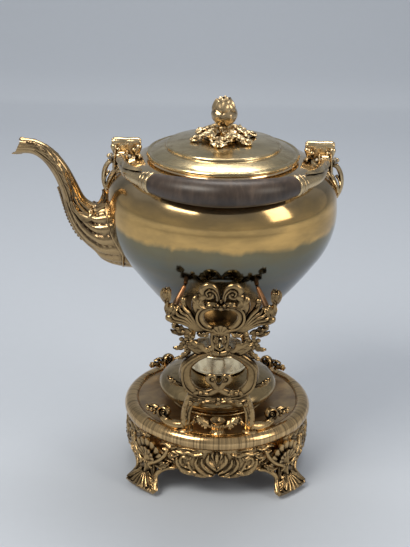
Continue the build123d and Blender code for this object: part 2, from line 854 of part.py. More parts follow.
def lid_parts():
    low = lid_seat
    step = low + lid_step_rise
    top = low + lid_top_rise
    rim = low + lid_rim_height
    cover = turned(
        (
            (lid_radius - 2.0, low),
            (lid_radius, low + 1.5),
            (lid_radius, rim - 1.0),
            (lid_radius - 1.5, rim),
            (lid_step_radius + 2.0, step - 1.5),
            (lid_step_radius + 1.0, step),
            (lid_step_radius - 2.0, step + 0.4),
            (lid_top_radius, top),
            (stud_radius, top + 1.0),
            (stud_radius, top + 1.0 - lid_wall),
            (lid_top_radius - 1.0, top - lid_wall),
            (lid_step_radius - 3.0, step - lid_wall),
            (lid_radius - 4.5, rim - 2.4),
            (lid_radius - 4.5, low),
        )
    )
    outer = mouth_radius - lid_flange_gap
    flange = turned(
        (
            (outer - lid_wall, low - lid_flange_depth),
            (outer, low - lid_flange_depth),
            (outer, low),
            (lid_radius - 4.5, low),
            (lid_radius - 4.5, low + 1.2),
            (outer - lid_wall, low + 1.2),
        )
    )
    calyx_low = top + 1.0
    calyx = turned(
        (
            (stud_radius, calyx_low),
            (lid_top_radius - 6.0, calyx_low),
            (calyx_radius, calyx_low + 1.0),
            (calyx_radius - 2.0, calyx_low + 4.0),
            (12.0, calyx_low + 8.0),
            (8.0, calyx_low + calyx_height),
            (stud_radius, calyx_low + calyx_height),
        )
    )
    calyx -= turned(
        (
            (0, calyx_low - 9.0),
            (lid_top_radius + 2.0, calyx_low - 9.0),
            (lid_top_radius + 2.0, calyx_low - 1.2),
            (0, calyx_low),
        )
    )
    bud_low = calyx_low + calyx_height
    bud = turned(
        (
            (stud_radius, bud_low),
            (7.0, bud_low),
            (bud_radius - 2.0, bud_low + 3.5),
            (bud_radius, bud_low + 9.0),
            (bud_radius - 1.0, bud_low + 15.0),
            (bud_radius - 4.0, bud_low + 19.5),
            (4.0, bud_low + bud_height),
            (0, bud_low + bud_height),
            (0, bud_low + 10.0),
            (stud_radius, bud_low + 10.0),
        )
    )
    inside = top + 1.0 - lid_wall
    stud = Pos(0, 0, inside - nut_height - 2.0) * Cylinder(
        stud_radius, bud_low + 10.0 - inside + nut_height + 2.0, align=upright
    )
    nut = Pos(0, 0, inside - nut_height) * (
        extrude(RegularPolygon(nut_radius, 6), amount=nut_height - 0.3)
        - Cylinder(stud_radius, nut_height, align=upright)
    )
    return {
        "lid_cover": cover,
        "lid_flange": flange,
        "finial_calyx": calyx,
        "finial_bud": bud,
        "finial_stud": stud,
        "finial_nut": nut,
    }


# Handle

def handle_curve():
    right = list(handle_line)
    left = [(-x, y, z) for x, y, z in reversed(right[:-1])]
    return Spline(*(right + left))


def handle_spot(curve, number):
    """Fraction of the handle's centre line at one of its named points."""
    return curve.param_at_point(Vector(*handle_line[number]))


def ring_on(curve, fraction, radius):
    plane = Plane(origin=curve @ fraction, z_dir=curve % fraction)
    return plane * Circle(radius)


def handle_grip(curve):
    start = handle_spot(curve, grip_end_point)
    spots = 9
    rings = []
    for step in range(spots):
        share = step / (spots - 1)
        swell = math.sin(math.pi * share) ** 0.7 if 0 < share < 1 else 0.0
        radius = grip_end_radius + (grip_middle_radius - grip_end_radius) * swell
        rings.append(ring_on(curve, start + (1 - 2 * start) * share, radius))
    grip = loft(rings)
    for fraction, sign in ((start, -1), (1 - start, 1)):
        at = curve @ fraction
        out = (curve % fraction) * sign
        grip += rod(at, at + out * grip_tenon_length, grip_tenon_radius)
    for pin in grip_pins(curve):
        grip -= pin
    return grip


def grip_pins(curve):
    """The two cross pins that hold the grip's tenons in the arms."""
    start = handle_spot(curve, grip_end_point)
    pins = []
    for fraction, sign in ((start, -1), (1 - start, 1)):
        middle = curve @ fraction + (curve % fraction) * (sign * grip_tenon_length * 0.6)
        half = 5.6
        pins.append(rod(middle - Vector(0, 0, half), middle + Vector(0, 0, half), grip_pin_radius))
    return pins


def handle_arm(curve, grip):
    """The right arm: an eye on the hinge pin, a tapered arm and a ferrule round the grip's tenon."""
    end = handle_spot(curve, grip_end_point)
    root = handle_spot(curve, 1) * 0.45
    spots = 6
    rings = []
    for step in range(spots):
        share = step / (spots - 1)
        radius = arm_root_radius + (ferrule_radius - 1.2 - arm_root_radius) * share**1.4
        rings.append(ring_on(curve, root + (end - root) * share, radius))
    arm = loft(rings)
    eye = Pos(hinge_x, 0, hinge_height) * Rot(0, 90, 0) * Cylinder(eye_radius, eye_width)
    at = curve @ end
    out = (curve % end) * -1
    ferrule = rod(at, at + out * ferrule_length, ferrule_radius)
    bore = Pos(hinge_x, 0, hinge_height) * Rot(0, 90, 0) * Cylinder(
        hinge_pin_radius + hinge_running_gap, 3 * eye_width
    )
    arm = arm + eye + ferrule - bore - grip
    for pin in grip_pins(curve):
        arm -= pin
    return arm


def hinge_pin():
    """The right hinge pin, with its rivet head outside the outer cheek."""
    inner = hinge_x - eye_width / 2 - 0.4 - cheek_thickness
    outer = hinge_x + eye_width / 2 + 0.4 + cheek_thickness
    pin = rod((inner, 0, hinge_height), (outer, 0, hinge_height), hinge_pin_radius)
    head = rod((outer, 0, hinge_height), (outer + 2.0, 0, hinge_height), 3.6, 2.4)
    return pin + head


def bracket():
    """The right bracket: a foot on the shoulder, two cheeks round the eye and a rolled back."""
    inner_face = hinge_x - eye_width / 2 - 0.4
    outer_face = hinge_x + eye_width / 2 + 0.4
    floor_z = hinge_height - eye_radius - 1.0
    inner_x, outer_x = hinge_x - bracket_inner_width, hinge_x + bracket_outer_width
    roll_inner_x, roll_outer_x = hinge_x - roll_inner_width, hinge_x + roll_outer_width
    roll_height = hinge_height + roll_rise
    low = kettle_wide_height + 4.0
    block = Pos((inner_x + outer_x) / 2, (bracket_back - bracket_front) / 2, low) * Box(
        outer_x - inner_x,
        bracket_back + bracket_front,
        floor_z - low,
        align=upright,
    )
    cheeks = None
    for x in (inner_face - cheek_thickness / 2, outer_face + cheek_thickness / 2):
        cheek = Pos(x, 0, floor_z - 3.0) * Box(
            cheek_thickness,
            2 * cheek_half_depth,
            hinge_height + cheek_top - floor_z + 3.0,
            align=upright,
        )
        cheeks = cheek if cheeks is None else cheeks + cheek
    back_width = roll_outer_x - roll_inner_x - 3.0
    back_middle = (roll_outer_x + roll_inner_x) / 2
    back = Pos(back_middle, roll_distance, floor_z - 3.0) * Box(
        back_width, 5.0, roll_height - floor_z + 3.0, align=upright
    )
    roll = rod(
        (roll_inner_x, roll_distance, roll_height), (roll_outer_x, roll_distance, roll_height), roll_radius
    )
    hole = Pos(hinge_x, 0, hinge_height) * Rot(0, 90, 0) * Cylinder(hinge_pin_radius, 60)
    shape = block + cheeks + back + roll - hole - kettle_outside
    return max(shape.solids(), key=lambda one: one.volume)


# Build and write every piece

os.makedirs("parts", exist_ok=True)

write("base_plate", base_plate())
apron_body = apron_outside()
write("base_apron", base_apron(apron_body))
foot_names = ("foot_back_right", "foot_back_left", "foot_front_left", "foot_front_right")
for name, angle in zip(foot_names, foot_angles):
    write(name, foot(angle, apron_body))
write(
    "foot_screws",
    Compound(children=[screw(at, out, apron_wall + screw_bite - 1.5) for at, out in foot_screw_places()]),
)
write(
    "frame_screws",
    Compound(children=[screw(at, (0, 0, 1), plate_thickness + screw_bite - 1.5) for at in frame_screw_places()]),
)

front_pieces = {
    "lyre": lyre(),
    "cradle": cradle(),
    "garland": garland(),
    "right_scroll_foot": scroll_foot(1),
    "left_scroll_foot": scroll_foot(-1),
    "right_prong": prong(1),
    "left_prong": prong(-1),
    "right_prong_cup": prong_cup(1),
    "left_prong_cup": prong_cup(-1),
}
swapped = {"left": "right", "right": "left"}
for name, shape in front_pieces.items():
    write("front_" + name, shape)
    side = name.split("_")[0]
    back_name = name.replace(side, swapped[side], 1) if side in swapped else name
    write("back_" + back_name, turned_back(shape))

for name, shape in lamp_parts().items():
    write(name, shape)
for name, shape in kettle_parts().items():
    write(name, shape)
write("spout", spout())
for name, shape in lid_parts().items():
    write(name, shape)

curve = handle_curve()
grip = handle_grip(curve)
right_arm = handle_arm(curve, grip)
write("handle_grip", grip)
write("handle_arm_right", right_arm)
write("handle_arm_left", mirrored_x(right_arm))
write("grip_pins", Compound(children=grip_pins(curve)))
write("hinge_pin_right", hinge_pin())
write("hinge_pin_left", mirrored_x(hinge_pin()))
write("handle_bracket_right", bracket())
write("handle_bracket_left", mirrored_x(bracket()))
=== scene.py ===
"""A spirit kettle with a swing handle, on its footed stand over a spirit lamp."""

import math

import bmesh
import bpy
import numpy as np
from mathutils import Matrix, Vector


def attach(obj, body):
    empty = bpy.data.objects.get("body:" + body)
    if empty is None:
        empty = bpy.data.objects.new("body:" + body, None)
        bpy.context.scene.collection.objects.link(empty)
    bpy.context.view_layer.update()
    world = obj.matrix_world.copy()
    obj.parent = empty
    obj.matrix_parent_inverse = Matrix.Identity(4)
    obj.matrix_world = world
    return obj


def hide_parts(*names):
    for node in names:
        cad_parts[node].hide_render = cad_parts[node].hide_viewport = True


bl_info = {
    "name": "Spirit Kettle",
    "version": (1, 0, 0),
    "blender": (4, 5, 0),
    "location": "3D View > Sidebar > Kettle",
    "description": "Builds an ornate swing-handled kettle on a stand over a spirit lamp",
    "category": "Object",
}

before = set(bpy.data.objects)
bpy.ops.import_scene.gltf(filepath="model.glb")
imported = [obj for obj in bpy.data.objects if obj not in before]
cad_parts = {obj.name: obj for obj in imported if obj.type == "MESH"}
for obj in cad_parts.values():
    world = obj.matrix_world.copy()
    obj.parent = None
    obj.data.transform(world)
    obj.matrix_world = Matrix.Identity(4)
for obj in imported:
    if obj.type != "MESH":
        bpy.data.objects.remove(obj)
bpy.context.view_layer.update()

MM = 0.001


# Meshes: every piece is a set of closed shells, drawn in millimetres

def unit(v):
    v = np.asarray(v, float)
    return v / max(np.linalg.norm(v), 1e-9)


def even_turn(count):
    """Even angles once round."""
    return np.linspace(0, 2 * math.pi, count, endpoint=False)


def across_way(way, facing):
    """Unit vectors at right angles to a direction: to its side, and towards the facing side."""
    up = unit(np.asarray(facing, float) - np.dot(facing, way) * way)
    return np.cross(way, up), up


def directions(line):
    """The unit direction of a line at each of its points."""
    tangent = np.gradient(line, axis=0)
    return tangent / np.maximum(np.linalg.norm(tangent, axis=1), 1e-9)[:, None]


def along_line(points, count):
    """A smooth line through rows of numbers, at even steps; extra columns such as a radius follow."""
    p = np.asarray(points, float)
    ends = np.vstack([2 * p[0] - p[1], p, 2 * p[-1] - p[-2]])
    run = np.r_[0, np.cumsum(np.linalg.norm(np.diff(p[:, :3], axis=0), axis=1))]
    s = np.linspace(0, run[-1], count)
    i = np.clip(np.searchsorted(run, s, "right") - 1, 0, len(p) - 2)
    u = ((s - run[i]) / np.maximum(run[i + 1] - run[i], 1e-9))[:, None]
    a, b, c, d = ends[i], ends[i + 1], ends[i + 2], ends[i + 3]
    return 0.5 * (2 * b + (c - a) * u + (2 * a - 5 * b + 4 * c - d) * u**2 + (3 * b - a - 3 * c + d) * u**3)


def skin(rings, closed_run=False):
    """Vertices and faces of a closed shell over rings of points."""
    rings = np.asarray(rings, float)
    n, k = rings.shape[:2]
    points = rings.reshape(-1, 3)
    faces = []
    for i in range(n if closed_run else n - 1):
        a, b = i * k, ((i + 1) % n) * k
        for j in range(k):
            m = (j + 1) % k
            faces.append((a + j, a + m, b + m, b + j))
    if not closed_run:
        points = np.vstack([points, rings[0].mean(0), rings[-1].mean(0)])
        last = (n - 1) * k
        for j in range(k):
            m = (j + 1) % k
            faces.append((m, j, n * k))
            faces.append((last + j, last + m, n * k + 1))
    return points, faces


def stem(points, sides, count, flat=1.0, facing=(0, 0, 1)):
    """A round-ended stem along rows of x, y, z and radius; flat is its depth over its width."""
    line = along_line(points, count)
    radius = np.maximum(line[:, 3], 0.05)
    path = line[:, :3]
    tangent = directions(path)
    caps = [(1.0, 0.05), (0.88, 0.48), (0.5, 0.86)]
    rows = [(path[0] - tangent[0] * radius[0] * q, radius[0] * w, tangent[0]) for q, w in caps]
    rows += [(path[i], radius[i], tangent[i]) for i in range(count)]
    rows += [(path[-1] + tangent[-1] * radius[-1] * q, radius[-1] * w, tangent[-1])
        for q, w in reversed(caps)]
    turn = even_turn(sides)
    rings = []
    for at, r, t in rows:
        side, up = across_way(t, facing)
        rings.append(at + r * (np.outer(np.cos(turn), side) + flat * np.outer(np.sin(turn), up)))
    return skin(rings)


def slab(points, thick, facing, count, ridges, ridge):
    """A flat-ended bar with rounded edges along rows of x, y, z and half width, ridged along its front."""
    line = along_line(points, count)
    tangent = np.gradient(line[:, :3], axis=0)
    turn = even_turn(40)
    c, s = np.cos(turn), np.sin(turn)
    across = np.sign(c) * np.abs(c) ** 0.6
    depth = np.sign(s) * np.abs(s) ** 0.6
    rings = []
    for i, row in enumerate(line):
        side, up = across_way(unit(tangent[i]), facing)
        body = thick / 2 * depth + ridge * np.abs(np.cos(math.pi * ridges * across / 2)) * (s > 0.1)
        rings.append(row[:3] + np.outer(row[3] * across, side) + np.outer(body, up))
    for spot, way in ((0, 1), (-1, -1)):
        middle = rings[spot].mean(0)
        edge = middle + (rings[spot] - middle) * 0.86 - way * 0.8 * unit(tangent[spot])
        rings.insert(0 if way == 1 else len(rings), edge)
    return skin(rings)


def leaf(points, facing=(0, 0, 1), lobes=3, cut=0.3, thick=1.2, cup=0.0, rib=0.6,
        across=9, count=None):
    """A lobed leaf along rows of x, y, z and half width, with a midrib and veins."""
    count = count or max(14, 8 * lobes)
    line = along_line(points, count)
    path, width = line[:, :3], np.maximum(line[:, 3], 0.15)
    tangent = directions(path)
    t = np.linspace(-1, 1, across)
    rings = []
    for i in range(count):
        s = i / (count - 1)
        side, up = across_way(tangent[i], facing)
        wave = 0.5 + 0.5 * math.cos(2 * math.pi * lobes * s)
        w = width[i] * (1 - cut * wave)
        edge = np.abs(t)
        vein = 0.35 * rib * np.cos(2 * math.pi * lobes * s - 2.6 * edge) * edge * (1.15 - edge) * 3
        rise = cup * width[i] * (edge**2) + rib * np.exp(-((t / 0.16) ** 2)) + vein
        body = thick * np.sqrt(np.maximum(1 - t**2, 0.0))
        lean = tangent[i][None, :] * (edge**1.5 * width[i] * 0.35)[:, None]
        base = path[i] + np.outer(t * w, side) + lean
        front = base + np.outer(rise + 0.5 * body, up)
        back = base + np.outer(cup * width[i] * edge**2 - 0.5 * body, up)
        rings.append(np.vstack([front, back[-2:0:-1]]))
    return skin(rings)


def fan(centre, forward, facing, radius, span, ribs, thick, cup, start, rise, dip):
    """A shell of flutes fanning out from a centre, with a scalloped edge."""
    centre = np.asarray(centre, float)
    forward, facing = unit(forward), unit(facing)
    side = np.cross(forward, facing)
    steps, rows = ribs * 6 + 1, 8
    rings = []
    for j in range(steps):
        share = j / (steps - 1)
        angle = math.radians(span) * (share - 0.5)
        wave = abs(math.sin(math.pi * ribs * share))
        ray = math.cos(angle) * forward + math.sin(angle) * side
        reach = radius * (1 - dip * (1 - wave)) * (0.86 + 0.14 * math.cos(angle))
        q = np.linspace(start, 1, rows)
        height = rise * wave**0.7 * np.sin(np.pi * (0.15 + 0.7 * q)) * q + cup * q**2
        half = 0.5 * thick * (1 - 0.5 * q)
        spokes = centre + np.outer(q * reach, ray)
        front = spokes + np.outer(height + half, facing)
        back = spokes + np.outer(cup * q**2 - half, facing)
        rings.append(np.vstack([front, back[::-1]]))
    return skin(rings)


def bead(centre, radius, stretch=(1, 1, 1), rows=7, sides=10):
    """A ball, or an egg with its axes stretched."""
    rings = []
    ring = even_turn(sides)
    for i in range(rows):
        turn = math.pi * (i + 0.5) / rows
        r, z = math.sin(turn), math.cos(turn)
        rings.append(np.c_[r * np.cos(ring), r * np.sin(ring), np.full(sides, z)])
    points, faces = skin(rings)
    points[-2:] = [[0, 0, 1], [0, 0, -1]]
    return points * radius * np.asarray(stretch, float) + np.asarray(centre, float), faces


def spiral(centre, radius, turns, thick, start, way, inner):
    """Rows of x, y, z and radius for a scroll that winds in to its centre, in the x-y plane."""
    rows = []
    count = max(8, int(12 * turns))
    for i in range(count + 1):
        s = i / count
        a = math.radians(start) + way * 2 * math.pi * turns * s
        r = radius * (1 - s) + radius * inner * s
        rows.append((centre[0] + r * math.cos(a), centre[1] + r * math.sin(a), centre[2],
            thick * (1 - 0.45 * s)))
    return rows


MIRROR = np.diag([-1, 1, 1])
MIRROR_DEPTH = np.diag([1, -1, 1])


class Casting:
    """Closed shells gathered into one casting."""

    def __init__(self):
        self.points = []
        self.faces = []
        self.size = 0

    def add(self, shell):
        points, faces = shell
        self.points.append(np.asarray(points, float))
        self.faces += [tuple(i + self.size for i in face) for face in faces]
        self.size += len(points)
        return self

    def rows(self):
        return np.vstack(self.points)

    def with_mirror(self, matrix=MIRROR):
        """Adds the mirror image, left to right unless another mirror is given."""
        return self.add((self.rows() @ matrix, [face[::-1] for face in self.faces]))

    def joined(self, other):
        return self.add((other.rows(), other.faces))

    def moved(self, matrix, shift=(0, 0, 0)):
        self.points = [self.rows() @ np.asarray(matrix, float).T + np.asarray(shift, float)]
        return self

    def changed(self, rule):
        self.points = [rule(self.rows())]
        return self

    def copy(self):
        other = Casting()
        return other.add((self.rows().copy(), list(self.faces)))


def about_z(degrees):
    c, s = math.cos(math.radians(degrees)), math.sin(math.radians(degrees))
    return np.array([[c, -s, 0], [s, c, 0], [0, 0, 1.0]])


def turned(profile, sides, loop=False):
    """A lathe-turned shell from rows of radius and height, closed on the axis unless it is a loop."""
    profile = np.asarray(profile, float)
    ring = even_turn(sides)
    rings = [np.c_[r * np.cos(ring), r * np.sin(ring), np.full(sides, z)] for r, z in profile if r > 1e-6]
    points, faces = skin(rings, closed_run=loop)
    if not loop:
        points[-2] = [0, 0, profile[0][1]]
        points[-1] = [0, 0, profile[-1][1]]
    return points, faces


def arc(a, b, c, count):
    """Points on the circle through three points."""
    ax, ay, bx, by, cx, cy = *a, *b, *c
    d = 2 * (ax * (by - cy) + bx * (cy - ay) + cx * (ay - by))
    ux = ((ax**2 + ay**2) * (by - cy) + (bx**2 + by**2) * (cy - ay) + (cx**2 + cy**2) * (ay - by)) / d
    uy = ((ax**2 + ay**2) * (cx - bx) + (bx**2 + by**2) * (ax - cx) + (cx**2 + cy**2) * (bx - ax)) / d
    r = math.hypot(ax - ux, ay - uy)
    t0, t1, t2 = (math.atan2(y - uy, x - ux) for x, y in (a, b, c))
    way = 1 if (t1 - t0) % (2 * math.pi) < (t2 - t0) % (2 * math.pi) else -1
    sweep = way * ((way * (t2 - t0)) % (2 * math.pi))
    angles = t0 + sweep * np.linspace(0, 1, count)
    return [(ux + r * math.cos(t), uy + r * math.sin(t)) for t in angles]


def rounded(points, radius, steps):
    """A closed or open outline with its corners rounded."""
    p = [np.asarray(q, float) for q in points]
    out = [p[0]]
    for a, b, c in zip(p, p[1:], p[2:]):
        r = min(radius, 0.45 * np.linalg.norm(a - b), 0.45 * np.linalg.norm(c - b))
        start, end = b + unit(a - b) * r, b + unit(c - b) * r
        for s in np.linspace(0, 1, steps):
            out.append((1 - s) ** 2 * start + 2 * s * (1 - s) * b + s**2 * end)
    out.append(p[-1])
    return [tuple(q) for q in out]


SHARP_ANGLE = 38.0


def to_mesh(name, casting):
    mesh = bpy.data.meshes.new(name)
    mesh.from_pydata((casting.rows() * MM).tolist(), [], casting.faces)
    work = bmesh.new()
    work.from_mesh(mesh)
    bmesh.ops.remove_doubles(work, verts=work.verts, dist=1e-7)
    bmesh.ops.recalc_face_normals(work, faces=work.faces)
    limit = math.radians(SHARP_ANGLE)
    for edge in work.edges:
        edge.smooth = not (len(edge.link_faces) == 2 and edge.calc_face_angle(0) > limit)
    for face in work.faces:
        face.smooth = True
    work.to_mesh(mesh)
    work.free()
    return mesh


def place(name, source, finish, body, nodes):
    """Makes a piece from a casting or a mesh, finished and riding on its body."""
    mesh = to_mesh(name, source) if isinstance(source, Casting) else source
    obj = bpy.data.objects.new(name, mesh)
    bpy.context.scene.collection.objects.link(obj)
    obj.data.materials.clear()
    obj.data.materials.append(finish)
    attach(obj, body)
    if nodes:
        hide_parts(*nodes)


def finish_nodes(names, finish):
    """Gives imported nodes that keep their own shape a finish."""
    for name in names:
        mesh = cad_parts[name].data
        mesh.materials.clear()
        mesh.materials.append(finish)


# Geometry Nodes tree

def copies_on_points_tree():
    """Copies of one shape on the points of a mesh, each turned by the point's own angles."""
    tree = bpy.data.node_groups.new("Copies on points", "GeometryNodeTree")
    for label, way, kind in (("Geometry", "OUTPUT", "Geometry"), ("Geometry", "INPUT", "Geometry"),
            ("Shape", "INPUT", "Object"), ("Finish", "INPUT", "Material")):
        tree.interface.new_socket(label, in_out=way, socket_type="NodeSocket" + kind)
    enter = tree.nodes.new("NodeGroupInput")
    leave = tree.nodes.new("NodeGroupOutput")
    nodes, links = tree.nodes, tree.links
    info = nodes.new("GeometryNodeObjectInfo")
    info.inputs["As Instance"].default_value = True
    turn = nodes.new("GeometryNodeInputNamedAttribute")
    turn.data_type = "FLOAT_VECTOR"
    turn.inputs["Name"].default_value = "turn"
    put = nodes.new("GeometryNodeInstanceOnPoints")
    real = nodes.new("GeometryNodeRealizeInstances")
    coat = nodes.new("GeometryNodeSetMaterial")
    links.new(enter.outputs["Shape"], info.inputs["Object"])
    links.new(enter.outputs["Geometry"], put.inputs["Points"])
    links.new(info.outputs["Geometry"], put.inputs["Instance"])
    links.new(turn.outputs["Attribute"], put.inputs["Rotation"])
    links.new(put.outputs["Instances"], real.inputs["Geometry"])
    links.new(real.outputs["Geometry"], coat.inputs["Geometry"])
    links.new(enter.outputs["Finish"], coat.inputs["Material"])
    links.new(coat.outputs["Geometry"], leave.inputs["Geometry"])
    return tree


def copies(name, shape, spots, finish):
    """A plain mesh of copies of a casting at rows of x, y, z and three angles in degrees."""
    tree = bpy.data.node_groups.get("Copies on points") or copies_on_points_tree()
    source = bpy.data.objects.new(name + "_shape", to_mesh(name + "_shape", shape))
    bpy.context.scene.collection.objects.link(source)
    points = bpy.data.meshes.new(name + "_points")
    points.from_pydata([tuple(v * MM for v in row[:3]) for row in spots], [], [])
    turn = points.attributes.new("turn", "FLOAT_VECTOR", "POINT")
    turn.data.foreach_set("vector", np.radians([row[3:6] for row in spots]).astype(np.float32).ravel())
    holder = bpy.data.objects.new(name, points)
    bpy.context.scene.collection.objects.link(holder)
    modifier = holder.modifiers.new("Copies", "NODES")
    modifier.node_group = tree
    for item in tree.interface.items_tree:
        if item.in_out == "INPUT" and item.name in ("Shape", "Finish"):
            modifier[item.identifier] = {"Shape": source, "Finish": finish}[item.name]
    bpy.context.view_layer.update()
    graph = bpy.context.evaluated_depsgraph_get()
    mesh = bpy.data.meshes.new_from_object(holder.evaluated_get(graph))
    mesh.name = name
    for obj in (holder, source):
        bpy.data.objects.remove(obj)
    return mesh


# Finishes

class Shade:
    """A small helper that builds one finish out of shader nodes."""

    def __init__(self, name, **base):
        self.material = bpy.data.materials.new(name)
        self.material.use_nodes = True
        self.tree = self.material.node_tree
        self.shader = self.tree.nodes["Principled BSDF"]
        for key, value in base.items():
            self.shader.inputs[key.replace("_", " ")].default_value = value
        self.where = self.tree.nodes.new("ShaderNodeTexCoord").outputs["Object"]

    def feed(self, socket, value):
        """Links another node's output to a socket, or sets the socket's own value."""
        if isinstance(value, bpy.types.NodeSocket):
            self.tree.links.new(value, socket)
        elif socket.type == "RGBA":
            socket.default_value = (*value[:3], 1)
        else:
            socket.default_value = value

    def node(self, kind, inputs=None, **settings):
        made = self.tree.nodes.new("ShaderNode" + kind)
        for key, value in settings.items():
            setattr(made, key, value)
        for key, value in (inputs or {}).items():
            self.feed(made.inputs[key], value)
        return made

    def stretched(self, scale, turn=(0, 0, 0)):
        return self.node("Mapping", {"Vector": self.where, "Scale": scale, "Rotation": turn}).outputs[0]

    def noise(self, scale, detail, rough, vector=None, warp=0.0):
        inputs = {"Vector": vector or self.where, "Scale": scale, "Detail": detail, "Roughness": rough,
            "Distortion": warp}
        return self.node("TexNoise", inputs).outputs["Fac"]

    def ramp(self, value, stops):
        made = self.node("ValToRGB", {"Fac": value})
        ramp = made.color_ramp
        while len(ramp.elements) < len(stops):
            ramp.elements.new(0.5)
        for element, (at, colour) in zip(ramp.elements, stops):
            element.position = at
            shade = colour if isinstance(colour, (tuple, list)) else (colour,) * 3
            element.color = (*shade[:3], 1)
        return made.outputs["Color"]

    def mix(self, share, first, second):
        """A colour between two others; the node's colour sockets are the seventh and eighth."""
        made = self.node("Mix", data_type="RGBA")
        for index, value in ((0, share), (6, first), (7, second)):
            self.feed(made.inputs[index], value)
        return made.outputs[2]

    def math(self, operation, a, b):
        made = self.node("Math", {0: a, 1: b}, operation=operation)
        return made.outputs[0]

    def height(self, low, high):
        """0 at one height and 1 at the other, in millimetres."""
        z = self.node("SeparateXYZ", {"Vector": self.where}).outputs["Z"]
        made = self.node("MapRange", {"Value": z, "From Min": low * MM, "From Max": high * MM})
        return made.outputs["Result"]

    def recess(self, reach):
        """Ambient occlusion, used as painted shade: 1 in the open and 0 deep in a hollow of the piece
        itself.
        """
        made = self.node("AmbientOcclusion", {"Distance": reach * MM}, only_local=True, samples=8)
        return made.outputs["AO"]

    def set(self, **links):
        for key, value in links.items():
            self.feed(self.shader.inputs[key.replace("_", " ")], value)

    def bump(self, height, strength, distance):
        made = self.node("Bump", {"Height": height, "Strength": strength, "Distance": distance * MM})
        self.feed(self.shader.inputs["Normal"], made.outputs["Normal"])


def cast_metal(name, bright, base, dark, rough, reach, scale, height_darkening=0.0):
    """Chased cast metal: rubbed bright on its ridges, with painted shade from ambient occlusion darkening
    its hollows.
    """
    shade = Shade(name, Metallic=1.0)
    patch = shade.noise(scale, 5.0, 0.6, warp=0.6)
    fine = shade.noise(scale * 9, 3.0, 0.6)
    grime = shade.math("MULTIPLY", shade.math("SUBTRACT", fine, 0.5), 0.30)
    cloud = shade.math("MULTIPLY", shade.math("SUBTRACT", patch, 0.5), 0.50)
    # Ambient occlusion puts painted shade in the hollows; the fine and cloudy noise add real grime and
    # patches.
    hollow = shade.math("ADD", shade.math("ADD", shade.recess(reach), grime), cloud)
    rubbed = shade.mix(shade.ramp(hollow, [(0.80, 0.0), (1.0, 0.72)]), base, bright)
    open_share = shade.ramp(hollow, [(0.40, 0.0), (0.80, 1.0)])
    # The dark colour is the painted shade in the hollows.
    tone = shade.mix(open_share, dark, rubbed)
    if height_darkening:
        # Darker with height, from the plate up towards the lamp's flame.
        plate_height, flame_height = 56.0, 104.0
        darker_with_height = shade.math("MULTIPLY", shade.height(plate_height, flame_height), height_darkening)
        tone = shade.mix(darker_with_height, tone, (0.05, 0.031, 0.016))
    shade.set(Base_Color=tone)
    worn = shade.math("SUBTRACT", patch, shade.math("MULTIPLY", open_share, 0.25))
    shade.set(Roughness=shade.ramp(worn, [(0.1, rough - 0.07), (0.6, rough + 0.2)]))
    shade.bump(shade.noise(scale * 12, 3.0, 0.65), 0.35, 0.25)
    return shade.material


def kettle_skin(look):
    """Polished plate with painted reflections in its colour: amber over the shoulder, olive and slate down
    the belly.
    """
    shade = Shade("Kettle plate", Metallic=1.0)
    cloud = shade.noise(14.0, 5.0, 0.6, warp=1.2)
    smear = shade.noise(30.0, 4.0, 0.6, vector=shade.stretched((1.0, 1.0, 2.6)))
    drift = shade.math("MULTIPLY", shade.math("SUBTRACT", cloud, 0.5), 0.16)
    bottom, ledge = 139.0, 289.0
    level = shade.math("ADD", shade.height(bottom, ledge), drift)
    # Bands by height: painted reflections of the room and the grip, laid over the brass.
    tone = shade.ramp(level, [(0.00, (0.16, 0.10, 0.05)), (0.20, (0.115, 0.085, 0.055)),
        (0.33, (0.10, 0.108, 0.108)), (0.52, (0.165, 0.172, 0.145)), (0.62, (0.23, 0.205, 0.125)),
        (0.65, tuple(look.amber)), (0.78, (0.80, 0.51, 0.19)), (0.86, (0.44, 0.31, 0.16)),
        (0.90, (0.62, 0.46, 0.27)), (0.94, (0.86, 0.67, 0.43))])
    # The smeared blotches are real stains.
    spots = shade.ramp(smear, [(0.34, 0.0), (0.62, 1.0)])
    shade.set(Base_Color=shade.mix(shade.math("MULTIPLY", spots, 0.40), tone, (0.20, 0.155, 0.085)))
    shade.set(Roughness=shade.ramp(smear, [(0.25, 0.06), (0.75, 0.20)]))
    return shade.material


def satin_plate(name, light, base, stain, rough, scale=26.0):
    """Turned plate with cloudy tone, smears and stains."""
    shade = Shade(name, Metallic=1.0)
    cloud = shade.noise(scale, 5.0, 0.62, warp=1.0)
    smear = shade.noise(scale * 2.2, 5.0, 0.6, vector=shade.stretched((1.0, 2.2, 1.0), (0, 0, 0.5)))
    tone = shade.mix(shade.ramp(cloud, [(0.35, 0.0), (0.66, 1.0)]), base, light)
    stains = shade.ramp(smear, [(0.50, 0.0), (0.60, 0.55), (0.74, 1.0)])
    shade.set(Base_Color=shade.mix(shade.math("MULTIPLY", stains, 0.75), tone, stain))
    shade.set(Roughness=shade.ramp(smear, [(0.3, rough - 0.07), (0.75, rough + 0.16)]))
    return shade.material


